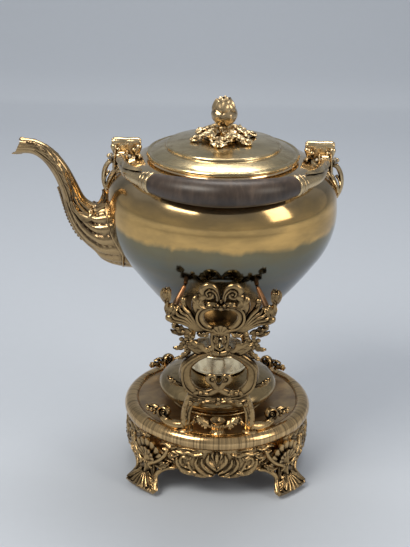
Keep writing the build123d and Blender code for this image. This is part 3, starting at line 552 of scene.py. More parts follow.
def rim_plate(look):
    """The base plate: brown-mauve satin on top; round its rolled rim, gold streaked with painted highlights
    and darker streaks.
    """
    shade = Shade("Base plate", Metallic=1.0)
    x_y_z = shade.node("SeparateXYZ", {"Vector": shade.where})
    angle = shade.math("ARCTAN2", x_y_z.outputs["Y"], x_y_z.outputs["X"])
    around = shade.node("CombineXYZ", {"X": shade.math("MULTIPLY", angle, 9.0)})
    # Painted highlight streaks round the rim, gold between darker streaks.
    highlight_streaks = shade.noise(3.1, 7.0, 0.78, vector=around.outputs[0], warp=0.2)
    cloud = shade.noise(34.0, 5.0, 0.62, warp=1.2)
    x_square, y_square = (shade.math("POWER", x_y_z.outputs[axis], 2.0) for axis in "XY")
    across = shade.math("POWER", shade.math("ADD", x_square, y_square), 0.5)
    rim_start, rim_end = 70.5, 73.5
    edge = shade.node("MapRange", {"Value": across, "From Min": rim_start * MM, "From Max": rim_end * MM})
    rim = edge.outputs["Result"]
    top = shade.mix(shade.ramp(cloud, [(0.34, 0.0), (0.68, 1.0)]), (0.30, 0.205, 0.125), (0.60, 0.43, 0.23))
    gold = shade.mix(shade.ramp(highlight_streaks, [(0.38, 0.0), (0.56, 1.0)]), (0.15, 0.10, 0.05), tuple(look.gold))
    shade.set(Base_Color=shade.mix(rim, top, gold))
    shade.set(Roughness=shade.mix(rim, shade.ramp(cloud, [(0.3, 0.32), (0.7, 0.48)]), (0.2, 0.2, 0.2)))
    shade.bump(shade.noise(300.0, 2.0, 0.5), 0.05, 0.1)
    return shade.material


def copper_rod():
    shade = Shade("Copper rods", Metallic=1.0)
    cloud = shade.noise(90.0, 4.0, 0.6)
    # More orange towards the rod tips.
    rod_middle, rod_tip = 182.0, 202.0
    toward_tips = shade.height(rod_middle, rod_tip)
    tone = shade.mix(toward_tips, (0.34, 0.225, 0.13), (0.46, 0.17, 0.045))
    shade.set(Base_Color=shade.mix(shade.math("MULTIPLY", cloud, 0.6), tone, (0.30, 0.19, 0.12)))
    shade.set(Roughness=shade.ramp(cloud, [(0.3, 0.30), (0.7, 0.48)]))
    shade.bump(shade.noise(600.0, 2.0, 0.5), 0.15, 0.1)
    return shade.material


def dark_grip(look):
    """Ebonised wood with a faint upright mottle and a soft wax gloss."""
    shade = Shade("Dark grip", Specular_IOR_Level=0.42, Coat_Weight=0.1, Coat_Roughness=0.25)
    mottle = shade.noise(55.0, 6.0, 0.7, vector=shade.stretched((1.6, 0.7, 0.5)), warp=0.4)
    grain = shade.noise(420.0, 3.0, 0.6, vector=shade.stretched((1.0, 0.35, 0.35)))
    tone = shade.ramp(mottle, [(0.30, (0.020, 0.013, 0.009)), (0.50, tuple(look.grip)),
        (0.70, (0.125, 0.084, 0.058))])
    shade.set(Base_Color=shade.mix(shade.math("MULTIPLY", grain, 0.4), tone, (0.030, 0.023, 0.020)))
    shade.set(Roughness=shade.ramp(mottle, [(0.3, 0.34), (0.7, 0.5)]))
    shade.bump(grain, 0.18, 0.12)
    return shade.material


def steel_finish():
    shade = Shade("Screw steel", Metallic=1.0)
    cloud = shade.noise(200.0, 3.0, 0.6)
    shade.set(Base_Color=shade.ramp(cloud, [(0.3, (0.20, 0.18, 0.15)), (0.7, (0.42, 0.38, 0.31))]))
    shade.set(Roughness=shade.ramp(cloud, [(0.3, 0.3), (0.7, 0.5)]))
    return shade.material


def wick_cotton():
    shade = Shade("Wick cotton", Roughness=0.9)
    weave = shade.node("TexWave", {"Vector": shade.where, "Scale": 900.0, "Distortion": 2.0, "Detail": 2.0},
        wave_type="BANDS", bands_direction="DIAGONAL").outputs["Fac"]
    wick_clean, wick_burnt = 103.0, 106.0
    burnt = shade.height(wick_clean, wick_burnt)
    tone = shade.ramp(weave, [(0.2, (0.55, 0.50, 0.40)), (0.8, (0.82, 0.78, 0.68))])
    shade.set(Base_Color=shade.mix(burnt, tone, (0.03, 0.025, 0.02)))
    shade.bump(weave, 0.5, 0.3)
    return shade.material


# Sizes and colours that a user would change

class KettleLook(bpy.types.PropertyGroup):
    # The amber is a painted warm reflection over the shoulder's brass.
    amber: bpy.props.FloatVectorProperty(name="Shoulder plate",
        description="Colour of the polished shoulder", subtype="COLOR",
        default=(0.74, 0.47, 0.17), min=0, max=1)
    sides: bpy.props.IntProperty(name="Steps round", description="Flat steps round each turned piece",
        default=192, min=48, max=256)


class SpoutLook(bpy.types.PropertyGroup):
    ribs: bpy.props.IntProperty(name="Ribs", description="Shell ribs on each side of the spout's root",
        default=7, min=3, max=12)
    rib_depth: bpy.props.FloatProperty(name="Rib depth", description="How far a rib stands out",
        default=0.0028, min=0, max=0.003, precision=4, unit="LENGTH")


class HandleLook(bpy.types.PropertyGroup):
    grip: bpy.props.FloatVectorProperty(name="Grip", description="Colour of the dark grip", subtype="COLOR",
        default=(0.058, 0.038, 0.026), min=0, max=1)
    grip_middle: bpy.props.FloatProperty(name="Grip radius", description="Radius in the middle of the grip",
        default=0.011, min=0.008, max=0.014, precision=4, unit="LENGTH")


class StandLook(bpy.types.PropertyGroup):
    # Rim gold: the colour of the painted highlight streaks round the rolled rim.
    gold: bpy.props.FloatVectorProperty(name="Rim gold",
        description="Colour of the rolled rim where it is clean", subtype="COLOR",
        default=(0.80, 0.54, 0.26), min=0, max=1)
    bronze: bpy.props.FloatVectorProperty(name="Cast metal", description="Colour of the castings",
        subtype="COLOR", default=(0.150, 0.097, 0.047), min=0, max=1)


class StageLook(bpy.types.PropertyGroup):
    floor: bpy.props.FloatVectorProperty(name="Floor", description="Colour of the floor and the backdrop",
        subtype="COLOR", default=(0.50, 0.54, 0.60), min=0, max=1)
    key_power: bpy.props.FloatProperty(name="Key light", description="Power of the main soft light",
        default=22.0, min=0, max=200, unit="POWER")


def cast_bronze():
    look = bpy.context.scene.kettle_stand
    # The last figure darkens the castings with height above the plate.
    return bpy.data.materials.get("Cast ornament") or cast_metal("Cast ornament", (0.74, 0.50, 0.23),
        tuple(look.bronze), (0.014, 0.009, 0.005), 0.22, 4.5, 55.0, 0.34)


def cast_mount():
    return bpy.data.materials.get("Cast mounts") or cast_metal("Cast mounts", (0.80, 0.62, 0.36),
        (0.40, 0.28, 0.15), (0.03, 0.02, 0.01), 0.24, 3.5, 60.0)


def screw_steel():
    return bpy.data.materials.get("Screw steel") or steel_finish()


# Sizes and outlines shared by several pieces, in millimetres

KETTLE_WALL = 1.6
KETTLE_RADIUS = 98.0
KETTLE_WIDE_HEIGHT = 250.0
MOUTH_SLOPE_RADIUS = 60.0
SHOULDER_RISE = 34.5
LEDGE_RADIUS = 66.5
HINGE_X = 86.5
HINGE_HEIGHT = 283.0
GRIP_END_RADIUS = 7.4
PLATE_TOP = 58.0
ON_PLATE = PLATE_TOP + 0.05

def kettle_side():
    """The kettle's outside as radius and height, from the edge of its bottom up to the ledge."""
    count = 26
    low = arc((36, 141), (60.5, 168), (86.9, 203), count)
    a, b = np.array(low[-2]), np.array(low[-1])
    way = unit(b - a)
    across = np.array([-way[1], way[0]])
    chord = np.array([KETTLE_RADIUS, KETTLE_WIDE_HEIGHT]) - b
    centre = b + across * (chord @ chord) / (2 * (chord @ across))
    radius = np.linalg.norm(b - centre)
    t0 = math.atan2(b[1] - centre[1], b[0] - centre[0])
    t1 = math.atan2(KETTLE_WIDE_HEIGHT - centre[1], KETTLE_RADIUS - centre[0])
    flank = [(centre[0] + radius * math.cos(t), centre[1] + radius * math.sin(t))
        for t in np.linspace(t0, t1, count)]
    width = KETTLE_RADIUS - MOUTH_SLOPE_RADIUS
    end = math.acos((LEDGE_RADIUS - MOUTH_SLOPE_RADIUS) / width)
    dome = [(MOUTH_SLOPE_RADIUS + width * math.cos(t), KETTLE_WIDE_HEIGHT + SHOULDER_RISE * math.sin(t))
        for t in np.linspace(0, end, count)]
    return np.array(low + flank[1:] + dome[1:])


KETTLE_SIDE = kettle_side()


def moved_inwards(side, wall):
    tangent = np.gradient(side, axis=0)
    tangent /= np.linalg.norm(tangent, axis=1)[:, None]
    return side + wall * np.c_[-tangent[:, 1], tangent[:, 0]]


def kettle_radius(z):
    return float(np.interp(z, KETTLE_SIDE[:, 1], KETTLE_SIDE[:, 0]))


SPOUT_LINE = (
    (-68, 214, 32.5, 19, 88),
    (-99, 216, 28, 18, 88),
    (-108.6, 219.2, 22.3, 16, 83.7),
    (-115.2, 224.6, 17.7, 13.9, 65.2),
    (-121, 232.4, 13, 11.6, 44.8),
    (-126.7, 243, 9.2, 8.9, 26),
    (-132.3, 257.6, 7.5, 7.4, 21.4),
    (-139, 271, 6.9, 6.8, 32),
    (-148.5, 283.2, 6.4, 6.3, 48.3),
    (-160, 290, 6, 5.9, 70),
    (-173.5, 291, 7.1, 6.6, 66),
)

SPOUT_STEPS = 100


def spout_line(count):
    """Rows of x, y, z, half height, half width and tilt in degrees along the spout."""
    return along_line([(x, 0, z, h, w, t) for x, z, h, w, t in SPOUT_LINE], count)


SPOUT_ROWS = spout_line(SPOUT_STEPS + 1)

HANDLE_LINE = (
    (HINGE_X, 0, HINGE_HEIGHT),
    (86.2, -9, 283.2),
    (83.5, -26, 283.2),
    (76.5, -50, 283.4),
    (59.5, -71, 283.8),
    (42, -88, 284.6),
    (21.5, -98.5, 285.2),
    (0, -102.5, 285.4),
)


# Kettle

class KETTLE_OT_body(bpy.types.Operator):
    """Build the kettle's polished body with its mouth and foot ring"""

    bl_idname = "kettle.body"
    bl_label = "Kettle body"

    def execute(self, context):
        look = context.scene.kettle_body
        inner = moved_inwards(KETTLE_SIDE, KETTLE_WALL)
        inner = inner[inner[:, 1] > 141]
        mouth = rounded([(66.5, 283.99), (63.2, 284), (62.6, 285.7), (56.2, 285.7), (56, 278), (57.6, 278),
            (57.6, 282.4), tuple(inner[-1])], 0.5, 4)
        base = rounded([(0, 139), (35, 139), (36, 141)], 0.8, 4)
        profile = base[:-1] + list(KETTLE_SIDE) + mouth[1:-1] + list(inner[::-1])
        profile += [(34, 140.6), (0, 140.6)]
        shape = Casting().add(turned(profile, look.sides))
        plate = kettle_skin(look)
        nodes = ("kettle_bowl", "kettle_shoulder", "kettle_mouth_ring")
        place("kettle_body", shape, plate, "kettle", nodes)
        ring = rounded([(30, 139), (29, 135.6), (30, 135), (33.5, 135), (34.4, 136), (33, 139)], 0.6, 3)
        foot = Casting().add(turned(ring, look.sides, loop=True))
        place("kettle_foot", foot, plate, "kettle", ("kettle_foot_ring",))
        return {"FINISHED"}


def spout_rings(inset, count, sides, relief=None):
    """Rings of points along the spout; relief gives each point's extra height."""
    rows = spout_line(count)
    turn = even_turn(sides)
    rings = []
    for i, (x, _, z, h, w, t) in enumerate(rows):
        tilt = math.radians(t)
        up = np.array([math.cos(tilt), 0, math.sin(tilt)])
        out = np.array([0, 1, 0])
        extra = relief(i / (count - 1), turn) if relief else 0
        tall = np.outer((h - inset + extra) * np.cos(turn), up)
        wide = np.outer((w - inset + extra) * np.sin(turn), out)
        rings.append(np.array([x, 0, z]) + tall + wide)
    return np.array(rings)


class KETTLE_OT_spout(bpy.types.Operator):
    """Build the curved spout with its shell-ribbed root, side leaves and beak"""

    bl_idname = "kettle.spout"
    bl_label = "Spout"

    def execute(self, context):
        look = context.scene.kettle_spout
        rib_depth = look.rib_depth / MM

        def relief(s, turn):
            around = np.abs(np.arctan2(np.sin(turn), -np.cos(turn))) / math.pi
            root = np.clip(1 - abs(s - 0.30) / 0.24, 0, 1) ** 0.5
            fade = np.clip((0.86 - around) * 6, 0, 1)
            lean = around + 0.35 * (s - 0.3)
            rib = (np.abs(np.sin(math.pi * look.ribs * lean / 0.86)) ** 0.75 - 0.55) * fade
            back = 0.9 * np.exp(-((turn - math.pi) / 0.12) ** 2) * np.clip(1 - s, 0.3, 1)
            off_top = np.minimum(turn, 2 * math.pi - turn)
            crest = 0.7 * np.exp(-(off_top / 0.2) ** 2) * np.clip((s - 0.3) * 3, 0, 1)
            sag = -3.2 * np.exp(-((s - 0.29) / 0.09) ** 2) * np.exp(-((around / 0.3) ** 2))
            flute = 0.55 * (np.abs(np.sin(5 * turn)) ** 0.8 - 0.6) * np.clip((s - 0.46) * 6, 0, 1)
            return rib_depth * root * rib + back + crest + flute + sag

        wall, steps, sides = 1.5, 110, 144
        outer = spout_rings(0, steps, sides, relief)
        inner = spout_rings(wall, steps, sides)
        shape = Casting()
        rings = list(outer) + [0.5 * (outer[-1] + inner[-1])] + list(inner[::-1])
        shape.add(skin(rings, closed_run=True))
        skin_finish = bpy.data.materials.get("Spout plate") or cast_metal("Spout plate", (0.60, 0.42, 0.21),
            (0.15, 0.10, 0.058), (0.018, 0.012, 0.008), 0.20, 4.2, 36)
        shape.joined(spout_leaves())
        place("kettle_spout", shape, skin_finish, "kettle", ("spout",))
        return {"FINISHED"}


def spout_point(s, turn, lift=0.0):
    """A point on the spout's skin, at a share of its length and an angle from its upper side."""
    x, _, z, h, w, t = (np.interp(s * SPOUT_STEPS, np.arange(SPOUT_STEPS + 1), SPOUT_ROWS[:, k])
        for k in range(6))
    tilt, a = math.radians(t), math.radians(turn)
    up = np.array([math.cos(tilt), 0, math.sin(tilt)])
    out = np.array([0, 1, 0])
    return np.array([x, 0, z]) + (h + lift) * math.cos(a) * up + (w + lift) * math.sin(a) * out


def spout_leaves():
    """Acanthus leaves on both sides of the spout, a leaf collar at its root and a beaked tip."""
    art = Casting()
    line = [(0.50, 92, 0.5), (0.58, 80, 2.6), (0.68, 72, 3.2), (0.80, 66, 3), (0.90, 55, 1.8),
        (0.96, 40, 0.6)]
    rows = [(*spout_point(s, a, 0.4), w) for s, a, w in line]
    art.add(leaf(rows, (0, 1, 0.25), lobes=6, cut=0.45, thick=1, rib=0.7, count=60))
    line = [(0.52, 96, 2.2), (0.44, 88, 3.6), (0.37, 70, 4.6), (0.35, 48, 3.6), (0.39, 30, 1.6)]
    rows = [(*spout_point(s, a, 0.6), w) for s, a, w in line]
    art.add(leaf(rows, (0.2, 1, 0.5), cut=0.35, thick=1.4, rib=0.8, count=40))
    line = [(0.22, 26, 1), (0.27, 34, 1.7), (0.33, 36, 1.8), (0.385, 22, 1.2)]
    art.add(stem([(*spout_point(s, a, 0.2), w) for s, a, w in line], 8, 24, facing=(0, 1, 0)))
    line = [(0.40, 118, 0.6), (0.48, 112, 0.9), (0.60, 105, 0.9), (0.75, 100, 0.8), (0.90, 96, 0.6)]
    art.add(stem([(*spout_point(s, a), w) for s, a, w in line], 8, 50, facing=(0, 1, 0)))
    art.with_mirror(MIRROR_DEPTH)
    for s in np.linspace(0.34, 0.60, 18):
        lift = 1 - 2.6 * math.exp(-(((s - 0.29) / 0.09) ** 2))
        art.add(bead(spout_point(s, 180, lift), 1.5, (1, 0.8, 1), 5, 8))
    art.add(stem([(-105, 0, 238.6, 2.2), (-101.4, 0, 242.4, 2.6), (-100.2, 0, 248, 2.2),
        (-101.6, 0, 253, 0.8)], 12, 20, 1.6, (1, 0, 0)))
    art.add(leaf([(-104, 0, 241.6, 1.6), (-101.6, 0, 246, 4.4), (-101, 0, 250.4, 3.4),
        (-101.8, 0, 253.6, 0.6)], (-1, 0, 0.3), lobes=2, cut=0.25, thick=2))
    art.joined(spout_seam())
    art.add(stem([(-171, 0, 285.5, 2.2), (-175.5, 0, 284.6, 1.6), (-178.6, 0, 284, 0.7)], 10, 10, 0.8))
    art.add(stem([(-167, 0, 296.2, 1.6), (-170.6, 0, 297.4, 1.5), (-172, 0, 296.6, 0.9)], 10, 10, 0.8))
    return art


def spout_seam():
    """A beaded fillet round the line where the spout meets the kettle."""
    line = []
    for turn in np.linspace(0, 360, 60, endpoint=False):
        for s in np.linspace(0.10, 0.46, 120):
            x, y, z = spout_point(s, turn)
            if math.hypot(x, y) > kettle_radius(z) + 0.2:
                break
        line.append((x, y, z))
    line = np.array(line)
    rings = [around_ring(p, line[(i + 1) % 60] - line[i - 1], 1.3) for i, p in enumerate(line)]
    return Casting().add(skin(rings, closed_run=True))


def around_ring(centre, way, radius):
    """A circle of points round a direction."""
    way = unit(way)
    side = unit(np.cross(way, (0, 0, 1)) if abs(way[2]) < 0.9 else np.cross(way, (1, 0, 0)))
    up = np.cross(side, way)
    turn = even_turn(10)
    lead = math.atan2(np.dot((1, 0, 0), up), np.dot((1, 0, 0), side))
    return centre + radius * (np.outer(np.cos(turn + lead), side) + np.outer(np.sin(turn + lead), up))


def bracket_top():
    """The cheeks round the hinge and the roll on top, with its end rings."""
    art = Casting()
    for x in (81.4, 91.6):
        art.add(stem([(x, 1, 274, 5.4), (x, 0.5, 279.5, 5.6), (x, 0, 283.5, 5), (x, 0, 284.5, 4.4)],
            16, 14, 0.3, (1, 0, 0)))
    roll = [(71.2, 10, 293.2, 4.1), (76, 10, 293.2, 4.2), (82.5, 10, 293.2, 3.8), (89, 10, 293.2, 4.2),
        (93.8, 10, 293.2, 4.1)]
    art.add(tube_rings(roll, 28, count=30))
    for x in (70.8, 94.2):
        art.add(ring_band(np.array((x, 9.4, 293.2)), (1, 0, 0), 3.4, 0.9))
        art.add(bead((x, 9.4, 293.2), 1.4, (0.8, 1, 1), 7, 12))
    return art


def bracket_column():
    """The ribbed column with a leaf in front, a leaf behind and a curl on each side."""
    art = Casting()
    back = [(83.5, 9.6, 262, 10.2), (83.5, 10.4, 268, 11.4), (83.2, 10.4, 276, 11.4), (82.8, 10, 284, 11.2),
        (82.5, 9.8, 292.5, 11.6)]
    art.add(slab(back, 6.4, (0, -1, 0.1), 30, 5, 1))
    column = [(82.5, 8.2, 261, 10.6), (82.5, 8.4, 268, 9.4), (82.5, 8.6, 276, 8.8), (82.5, 8.6, 284, 9.6),
        (82.5, 8.4, 291.5, 10.8)]
    art.add(slab(column, 3.6, (0, -1, 0.1), 30, 5, 0.9))
    front = [(82.5, 7.6, 262, 6.4), (82.5, 7.4, 272, 6.8), (82.5, 7, 281, 7.6), (82.5, 7.8, 289, 9.6),
        (82.5, 6.8, 292.4, 4)]
    art.add(leaf(front, (0, -1, 0.2), lobes=4, cut=0.25, thick=2.4, rib=1, across=11, count=40))
    behind = [(82.5, 12.6, 258, 6), (82.5, 13.2, 266, 9.6), (82.5, 13.4, 276, 9), (82.5, 13, 284, 7),
        (82.5, 12.6, 289.6, 2)]
    art.add(leaf(behind, (0, 1, 0.1), lobes=5, cut=0.26, thick=2.2, rib=1.1, across=13, count=48))
    for x, inward in ((73.2, 1), (91.8, -1)):
        curl = [(x - inward, 7.6, 262, 2.2), (x, 6.6, 269, 2.4), (x + 1.4 * inward, 6.2, 277, 2.2),
            (x + 0.4 * inward, 6.2, 284, 2.4), (x - 1.4 * inward, 7, 290, 2.8)]
        art.add(stem(curl, 12, 26, 0.8, (0, -1, 0)))
        art.add(bead((x + 2.6 * inward, 5.8, 287.4), 2.3, (1, 0.8, 1), 7, 12))
    return art


def bracket_foot():
    """The leaves and loops that spread from the hinge over the kettle's shoulder."""
    art = Casting()
    for y in (-4.5, 1.5, 7.5):
        rows = []
        for z in (282.5, 277, 270, 262, 256):
            rows.append((kettle_radius(z) + 1, y * (0.6 + (z - 250) / 90), z, 2.6 if z > 258 else 1.4))
        art.add(leaf(rows, (1, 0, 0.6), cut=0.25, thick=2.4, rib=0.7, count=30))
    loop = [(93.4, 2, 279, 1.8), (97.6, 1.5, 277, 2), (100.6, 1, 271, 2.1), (101.6, 1, 263, 2),
        (100.4, 1, 256, 1.8), (98.4, 1, 250.5, 1.2)]
    art.add(stem(loop, 10, 34, 1.3, (0, 1, 0)))
    art.add(leaf([(96.2, 1, 270, 0.8), (99.4, 0, 266, 2.4), (100.6, 0, 260, 2.6), (99.4, 0, 254, 0.8)],
        (1, -0.2, 0.2), cut=0.28, thick=2, rib=0.7, count=26))
    for z, r in ((283, 2), (279, 1.5)):
        art.add(bead((97, 2, z), r))
    art.add(leaf([(76, 4, 281.5, 2.5), (72.5, 1, 284, 3.6), (70, -4, 285.2, 2), (70.5, -8, 284.6, 0.6)],
        (-0.4, 0, 1), thick=1.6, count=30))
    for y, z, r in ((-9.6, 278.6, 3.3), (-12.4, 277.4, 2.4)):
        art.add(bead((85, y, z), r, (1.1, 1, 0.9), 8, 12))
    for k in range(6):
        a = math.radians(60 * k)
        art.add(bead((85 + 3 * math.cos(a), -10.6, 278.4 + 2.7 * math.sin(a)), 1.3, (1, 1, 1), 5, 8))
    art.add(stem([(86.5, 6, 268.5, 8), (86.5, 1, 268.8, 8.6), (86, -7, 270.5, 5)], 14, 12, 0.9, (1, 0, 0)))
    return art


def bracket_art():
    """The right bracket: a ribbed column with leaves and curls under a rolled top, on a leafy foot."""
    art = Casting()
    for part in (bracket_top(), bracket_column(), bracket_foot()):
        art.joined(part)
    return art


class KETTLE_OT_brackets(bpy.types.Operator):
    """Build the two scrolled brackets that hold the handle's hinges, with their pins"""

    bl_idname = "kettle.brackets"
    bl_label = "Handle brackets"

    def execute(self, context):
        art = bracket_art()
        rod = [(79.5, 0, HINGE_HEIGHT, 2), (94.6, 0, HINGE_HEIGHT, 2)]
        pin = Casting().add(stem(rod, 16, 6))
        pin.add(bead((94.9, 0, HINGE_HEIGHT), 3.4, (0.5, 1, 1), 7, 16))
        for way, name in ((1, "right"), (-1, "left")):
            mirror = np.diag([way, 1, 1])
            shape, peg = art.copy().moved(mirror), pin.copy().moved(mirror)
            place("bracket_" + name, shape, cast_mount(), "kettle", ("handle_bracket_" + name,))
            place("hinge_peg_" + name, peg, screw_steel(), "kettle", ("hinge_pin_" + name,))
        return {"FINISHED"}


# Handle

def arm_art(dense, end):
    """The right arm: a tapering rod with its hinge eye, a leaf on top and a ferrule over the grip's end."""
    arm = Casting()
    arm_line = dense[: end + 1]
    start = int(0.14 * end)
    picks = np.linspace(start, end, 14).astype(int)
    rows = []
    for number, i in enumerate(picks):
        s = number / (len(picks) - 1)
        rows.append((*arm_line[i], 3 + 3.8 * s**1.4))
    arm.add(tube_rings(np.array(rows), 28, count=40))
    first, last = end - 6, end + 7
    way = unit(arm_line[end] - arm_line[first])
    arm.add(skin(sleeve(dense[first : last + 1], 7, 8.9), closed_run=True))
    for spot, r, wide in ((last, 9.2, 1.2), (end, 8.6, 0.9), (first, 7.6, 0.9)):
        arm.add(ring_band(dense[spot], way, r, wide))
    eye = Casting().add(turned(rounded([(2.05, -3.1), (4.8, -3.1), (4.8, 3.1), (2.05, 3.1), (2.05, -3.1)],
        0.6, 3)[1:], 40, loop=True))
    eye.moved(np.array([[0, 0, 1], [0, 1, 0], [-1, 0, 0]]), (HINGE_X, 0, HINGE_HEIGHT))
    arm.joined(eye)
    tongue = []
    for s, lift, w in ((0.10, 3.4, 2.4), (0.30, 4.6, 3.6), (0.50, 5.6, 4.2), (0.70, 6.6, 3.4),
            (0.88, 7.6, 0.8)):
        tongue.append((*(arm_line[int(end * s)] + np.array([0, 0, lift])), w))
    arm.add(leaf(tongue, lobes=4, cut=0.32, thick=1.6, cup=-0.35, rib=0.8, across=11, count=44))
    root = arm_line[start]
    arm.add(stem([(*(root + np.array([0, 6, -0.4])), 3.6), (*(root + np.array([0, 0.5, 0])), 4.2),
        (*(root + np.array([-1.5, -7, 0.6])), 3)], 16, 14, 0.9))
    return arm


class KETTLE_OT_handle(bpy.types.Operator):
    """Build the swing handle: a dark swelling grip between two cast arms"""

    bl_idname = "kettle.handle"
    bl_label = "Swing handle"

    def execute(self, context):
        look = context.scene.kettle_handle
        right = [np.array(p) for p in HANDLE_LINE]
        line = right + [p * np.array([-1, 1, 1]) for p in right[-2::-1]]
        steps = 401
        dense = along_line(line, steps)
        grip_end = right[4]
        end = int(np.argmin(np.linalg.norm(dense - grip_end, axis=1)))
        grip_rows = dense[end:steps - end]
        share = np.linspace(0, 1, len(grip_rows))
        swell = np.sin(np.pi * share) ** 0.7
        radius = GRIP_END_RADIUS + (look.grip_middle / MM - GRIP_END_RADIUS) * swell
        rows = np.c_[grip_rows, radius][:: max(1, len(grip_rows) // 60)]
        grip = tube_rings(rows, 40)
        place("grip", Casting().add(grip), dark_grip(look), "handle", ("handle_grip",))
        arm = arm_art(dense, end)
        left = arm.copy().moved(MIRROR)
        place("arm_right", arm, cast_mount(), "handle", ("handle_arm_right",))
        place("arm_left", left, cast_mount(), "handle", ("handle_arm_left",))
        finish_nodes(["grip_pins"], screw_steel())
        return {"FINISHED"}


def sleeve(line, inner, outer):
    """Rings of a thin sleeve round a line, out along its outside and back along its inside."""
    way = unit(line[-1] - line[0])
    up = unit(np.array([0, 0, 1]) - way[2] * way)
    side = np.cross(way, up)
    turn = even_turn(36)
    ring = np.outer(np.cos(turn), side) + np.outer(np.sin(turn), up)
    share = np.linspace(0, 1, len(line))
    root_outer, root_inner = 7.3, 6.6
    out = [c + (root_outer + (outer - root_outer) * q) * ring for c, q in zip(line, share)]
    back = [c + (root_inner + (inner - root_inner) * q) * ring for c, q in zip(line[::-1], share[::-1])]
    return out + back


def tube_rings(rows, sides, count=None):
    """A tube through rows of x, y, z and radius, closed flat at its ends."""
    line = along_line(rows, count or len(rows))
    tangent = np.gradient(line[:, :3], axis=0)
    turn = even_turn(sides)
    rings = []
    for i, row in enumerate(line):
        t = unit(tangent[i])
        side, up = across_way(t, (0, 0, 1))
        circle = np.outer(np.cos(turn), side) + np.outer(np.sin(turn), up)
        if i == 0:
            rings.append(row[:3] + (row[3] - 0.6) * circle)
            rings.append(row[:3] + t * 0.25 + (row[3] - 0.15) * circle)
        elif i == len(line) - 1:
            rings.append(row[:3] - t * 0.25 + (row[3] - 0.15) * circle)
            rings.append(row[:3] + (row[3] - 0.6) * circle)
        else:
            rings.append(row[:3] + row[3] * circle)
    return skin(rings)


def ring_band(centre, axis, radius, thick):
    """A torus round an axis."""
    axis = unit(axis)
    side = unit(np.cross(axis, (0, 0, 1)) if abs(axis[2]) < 0.9 else np.cross(axis, (1, 0, 0)))
    up = np.cross(axis, side)
    rings = []
    for a in even_turn(40):
        ray = math.cos(a) * side + math.sin(a) * up
        ring = []
        for b in even_turn(10):
            ring.append(centre + ray * (radius - thick + thick * math.cos(b)) + axis * thick * math.sin(b))
        rings.append(ring)
    return skin(rings, closed_run=True)


# Lid

def lid_cover(sides):
    """The stepped cover, hollow underneath."""
    top = [(60.5, 286), (63.6, 286), (65, 287.2), (65, 288.6), (64.2, 289.8), (62.6, 290.2), (61.4, 289.6),
        (60.4, 290.3), (56, 292.1), (51.4, 293.7), (49.8, 294), (49.2, 293.7), (48.8, 294.1), (48.7, 295.9),
        (48, 296.9), (46.6, 297.1), (38, 298.6), (30, 300), (21, 301.2), (10, 302), (2, 302)]
    under = [(2, 300.4), (20, 299.4), (44.6, 294.9), (58, 289), (60.5, 287.9), (60.5, 286)]
    return Casting().add(turned(rounded(top, 0.35, 3) + rounded(under, 0.7, 3)[:-1], sides, loop=True))


def calyx_leaves():
    """A large and a small leaf of the calyx, drawn from its middle outwards."""
    one = Casting().add(leaf([(5, 0, 6, 2.4), (11, 0, 6.2, 7.6), (17.5, 0, 4.6, 8.6), (23.5, 0, 2.2, 6.8),
        (28, 0, 0.6, 3.4), (30, 0, 1.8, 0.8)], (0.25, 0, 1), lobes=5, cut=0.34, thick=1.8, cup=0.10,
        rib=1.3, across=13, count=60))
    for x, y, z in ((13, 4.4, 7.4), (13, -4.4, 7.4), (20, 4.6, 5.6), (20, -4.6, 5.6), (25.5, 0, 3.4)):
        one.add(bead((x, y, z - 0.2), 1.9, (1.3, 0.9, 0.8), 6, 9))
    small = Casting().add(leaf([(4, 0, 9.5, 1.5), (8, 0, 9.8, 5.4), (14, 0, 8, 6.2), (19, 0, 5.8, 4.2),
        (22.5, 0, 6.6, 0.9)], (0.35, 0, 1), lobes=4, cut=0.32, thick=1.6, cup=0.12,
        rib=1.2, across=11, count=44))
    return one, small


def calyx_hub():
    """The turned middle of the calyx with its ring of beads."""
    hub = Casting().add(turned(rounded([(2, 302), (17, 302), (15, 306), (9, 309), (5.6, 313.4), (2, 313.4),
        (2, 302)], 1.2, 4)[:-1], 40, loop=True))
    for k in range(12):
        a = math.radians(30 * k + 8)
        hub.add(bead((8.6 * math.cos(a), 8.6 * math.sin(a), 309), 2, (1, 1, 1.2), 6, 8))
    return hub


def rosebud():
    """The bud: an egg-shaped heart in three rings of cupped petals."""
    heart = Casting().add(turned(rounded([(0, 313.5), (5, 313.5), (7.2, 317), (7.8, 323), (6.6, 330),
        (3.6, 333.4), (0, 334)], 2, 5), 48))
    for ring, (count, r, z, tall, wide) in enumerate(((5, 7.8, 313.6, 14.5, 7.4), (5, 6.6, 318.6, 16, 6.4),
            (3, 3.4, 322, 14.2, 5.6))):
        for k in range(count):
            a = math.radians(360 / count * k + 31 * ring + 12)
            c, s = math.cos(a), math.sin(a)
            rows = []
            for q, w, swell in ((0, 0.35, -2), (0.25, 0.9, 1.4), (0.55, 1, 2.6), (0.85, 0.75, 1),
                    (1, 0.3, -0.8)):
                rows.append(((r + swell) * c, (r + swell) * s, z + tall * q, wide * w))
            heart.add(leaf(rows, (c, s, 0.1), lobes=2, cut=0.10, thick=1.6, cup=-0.42,
                rib=0.5, across=13, count=24))
    return heart


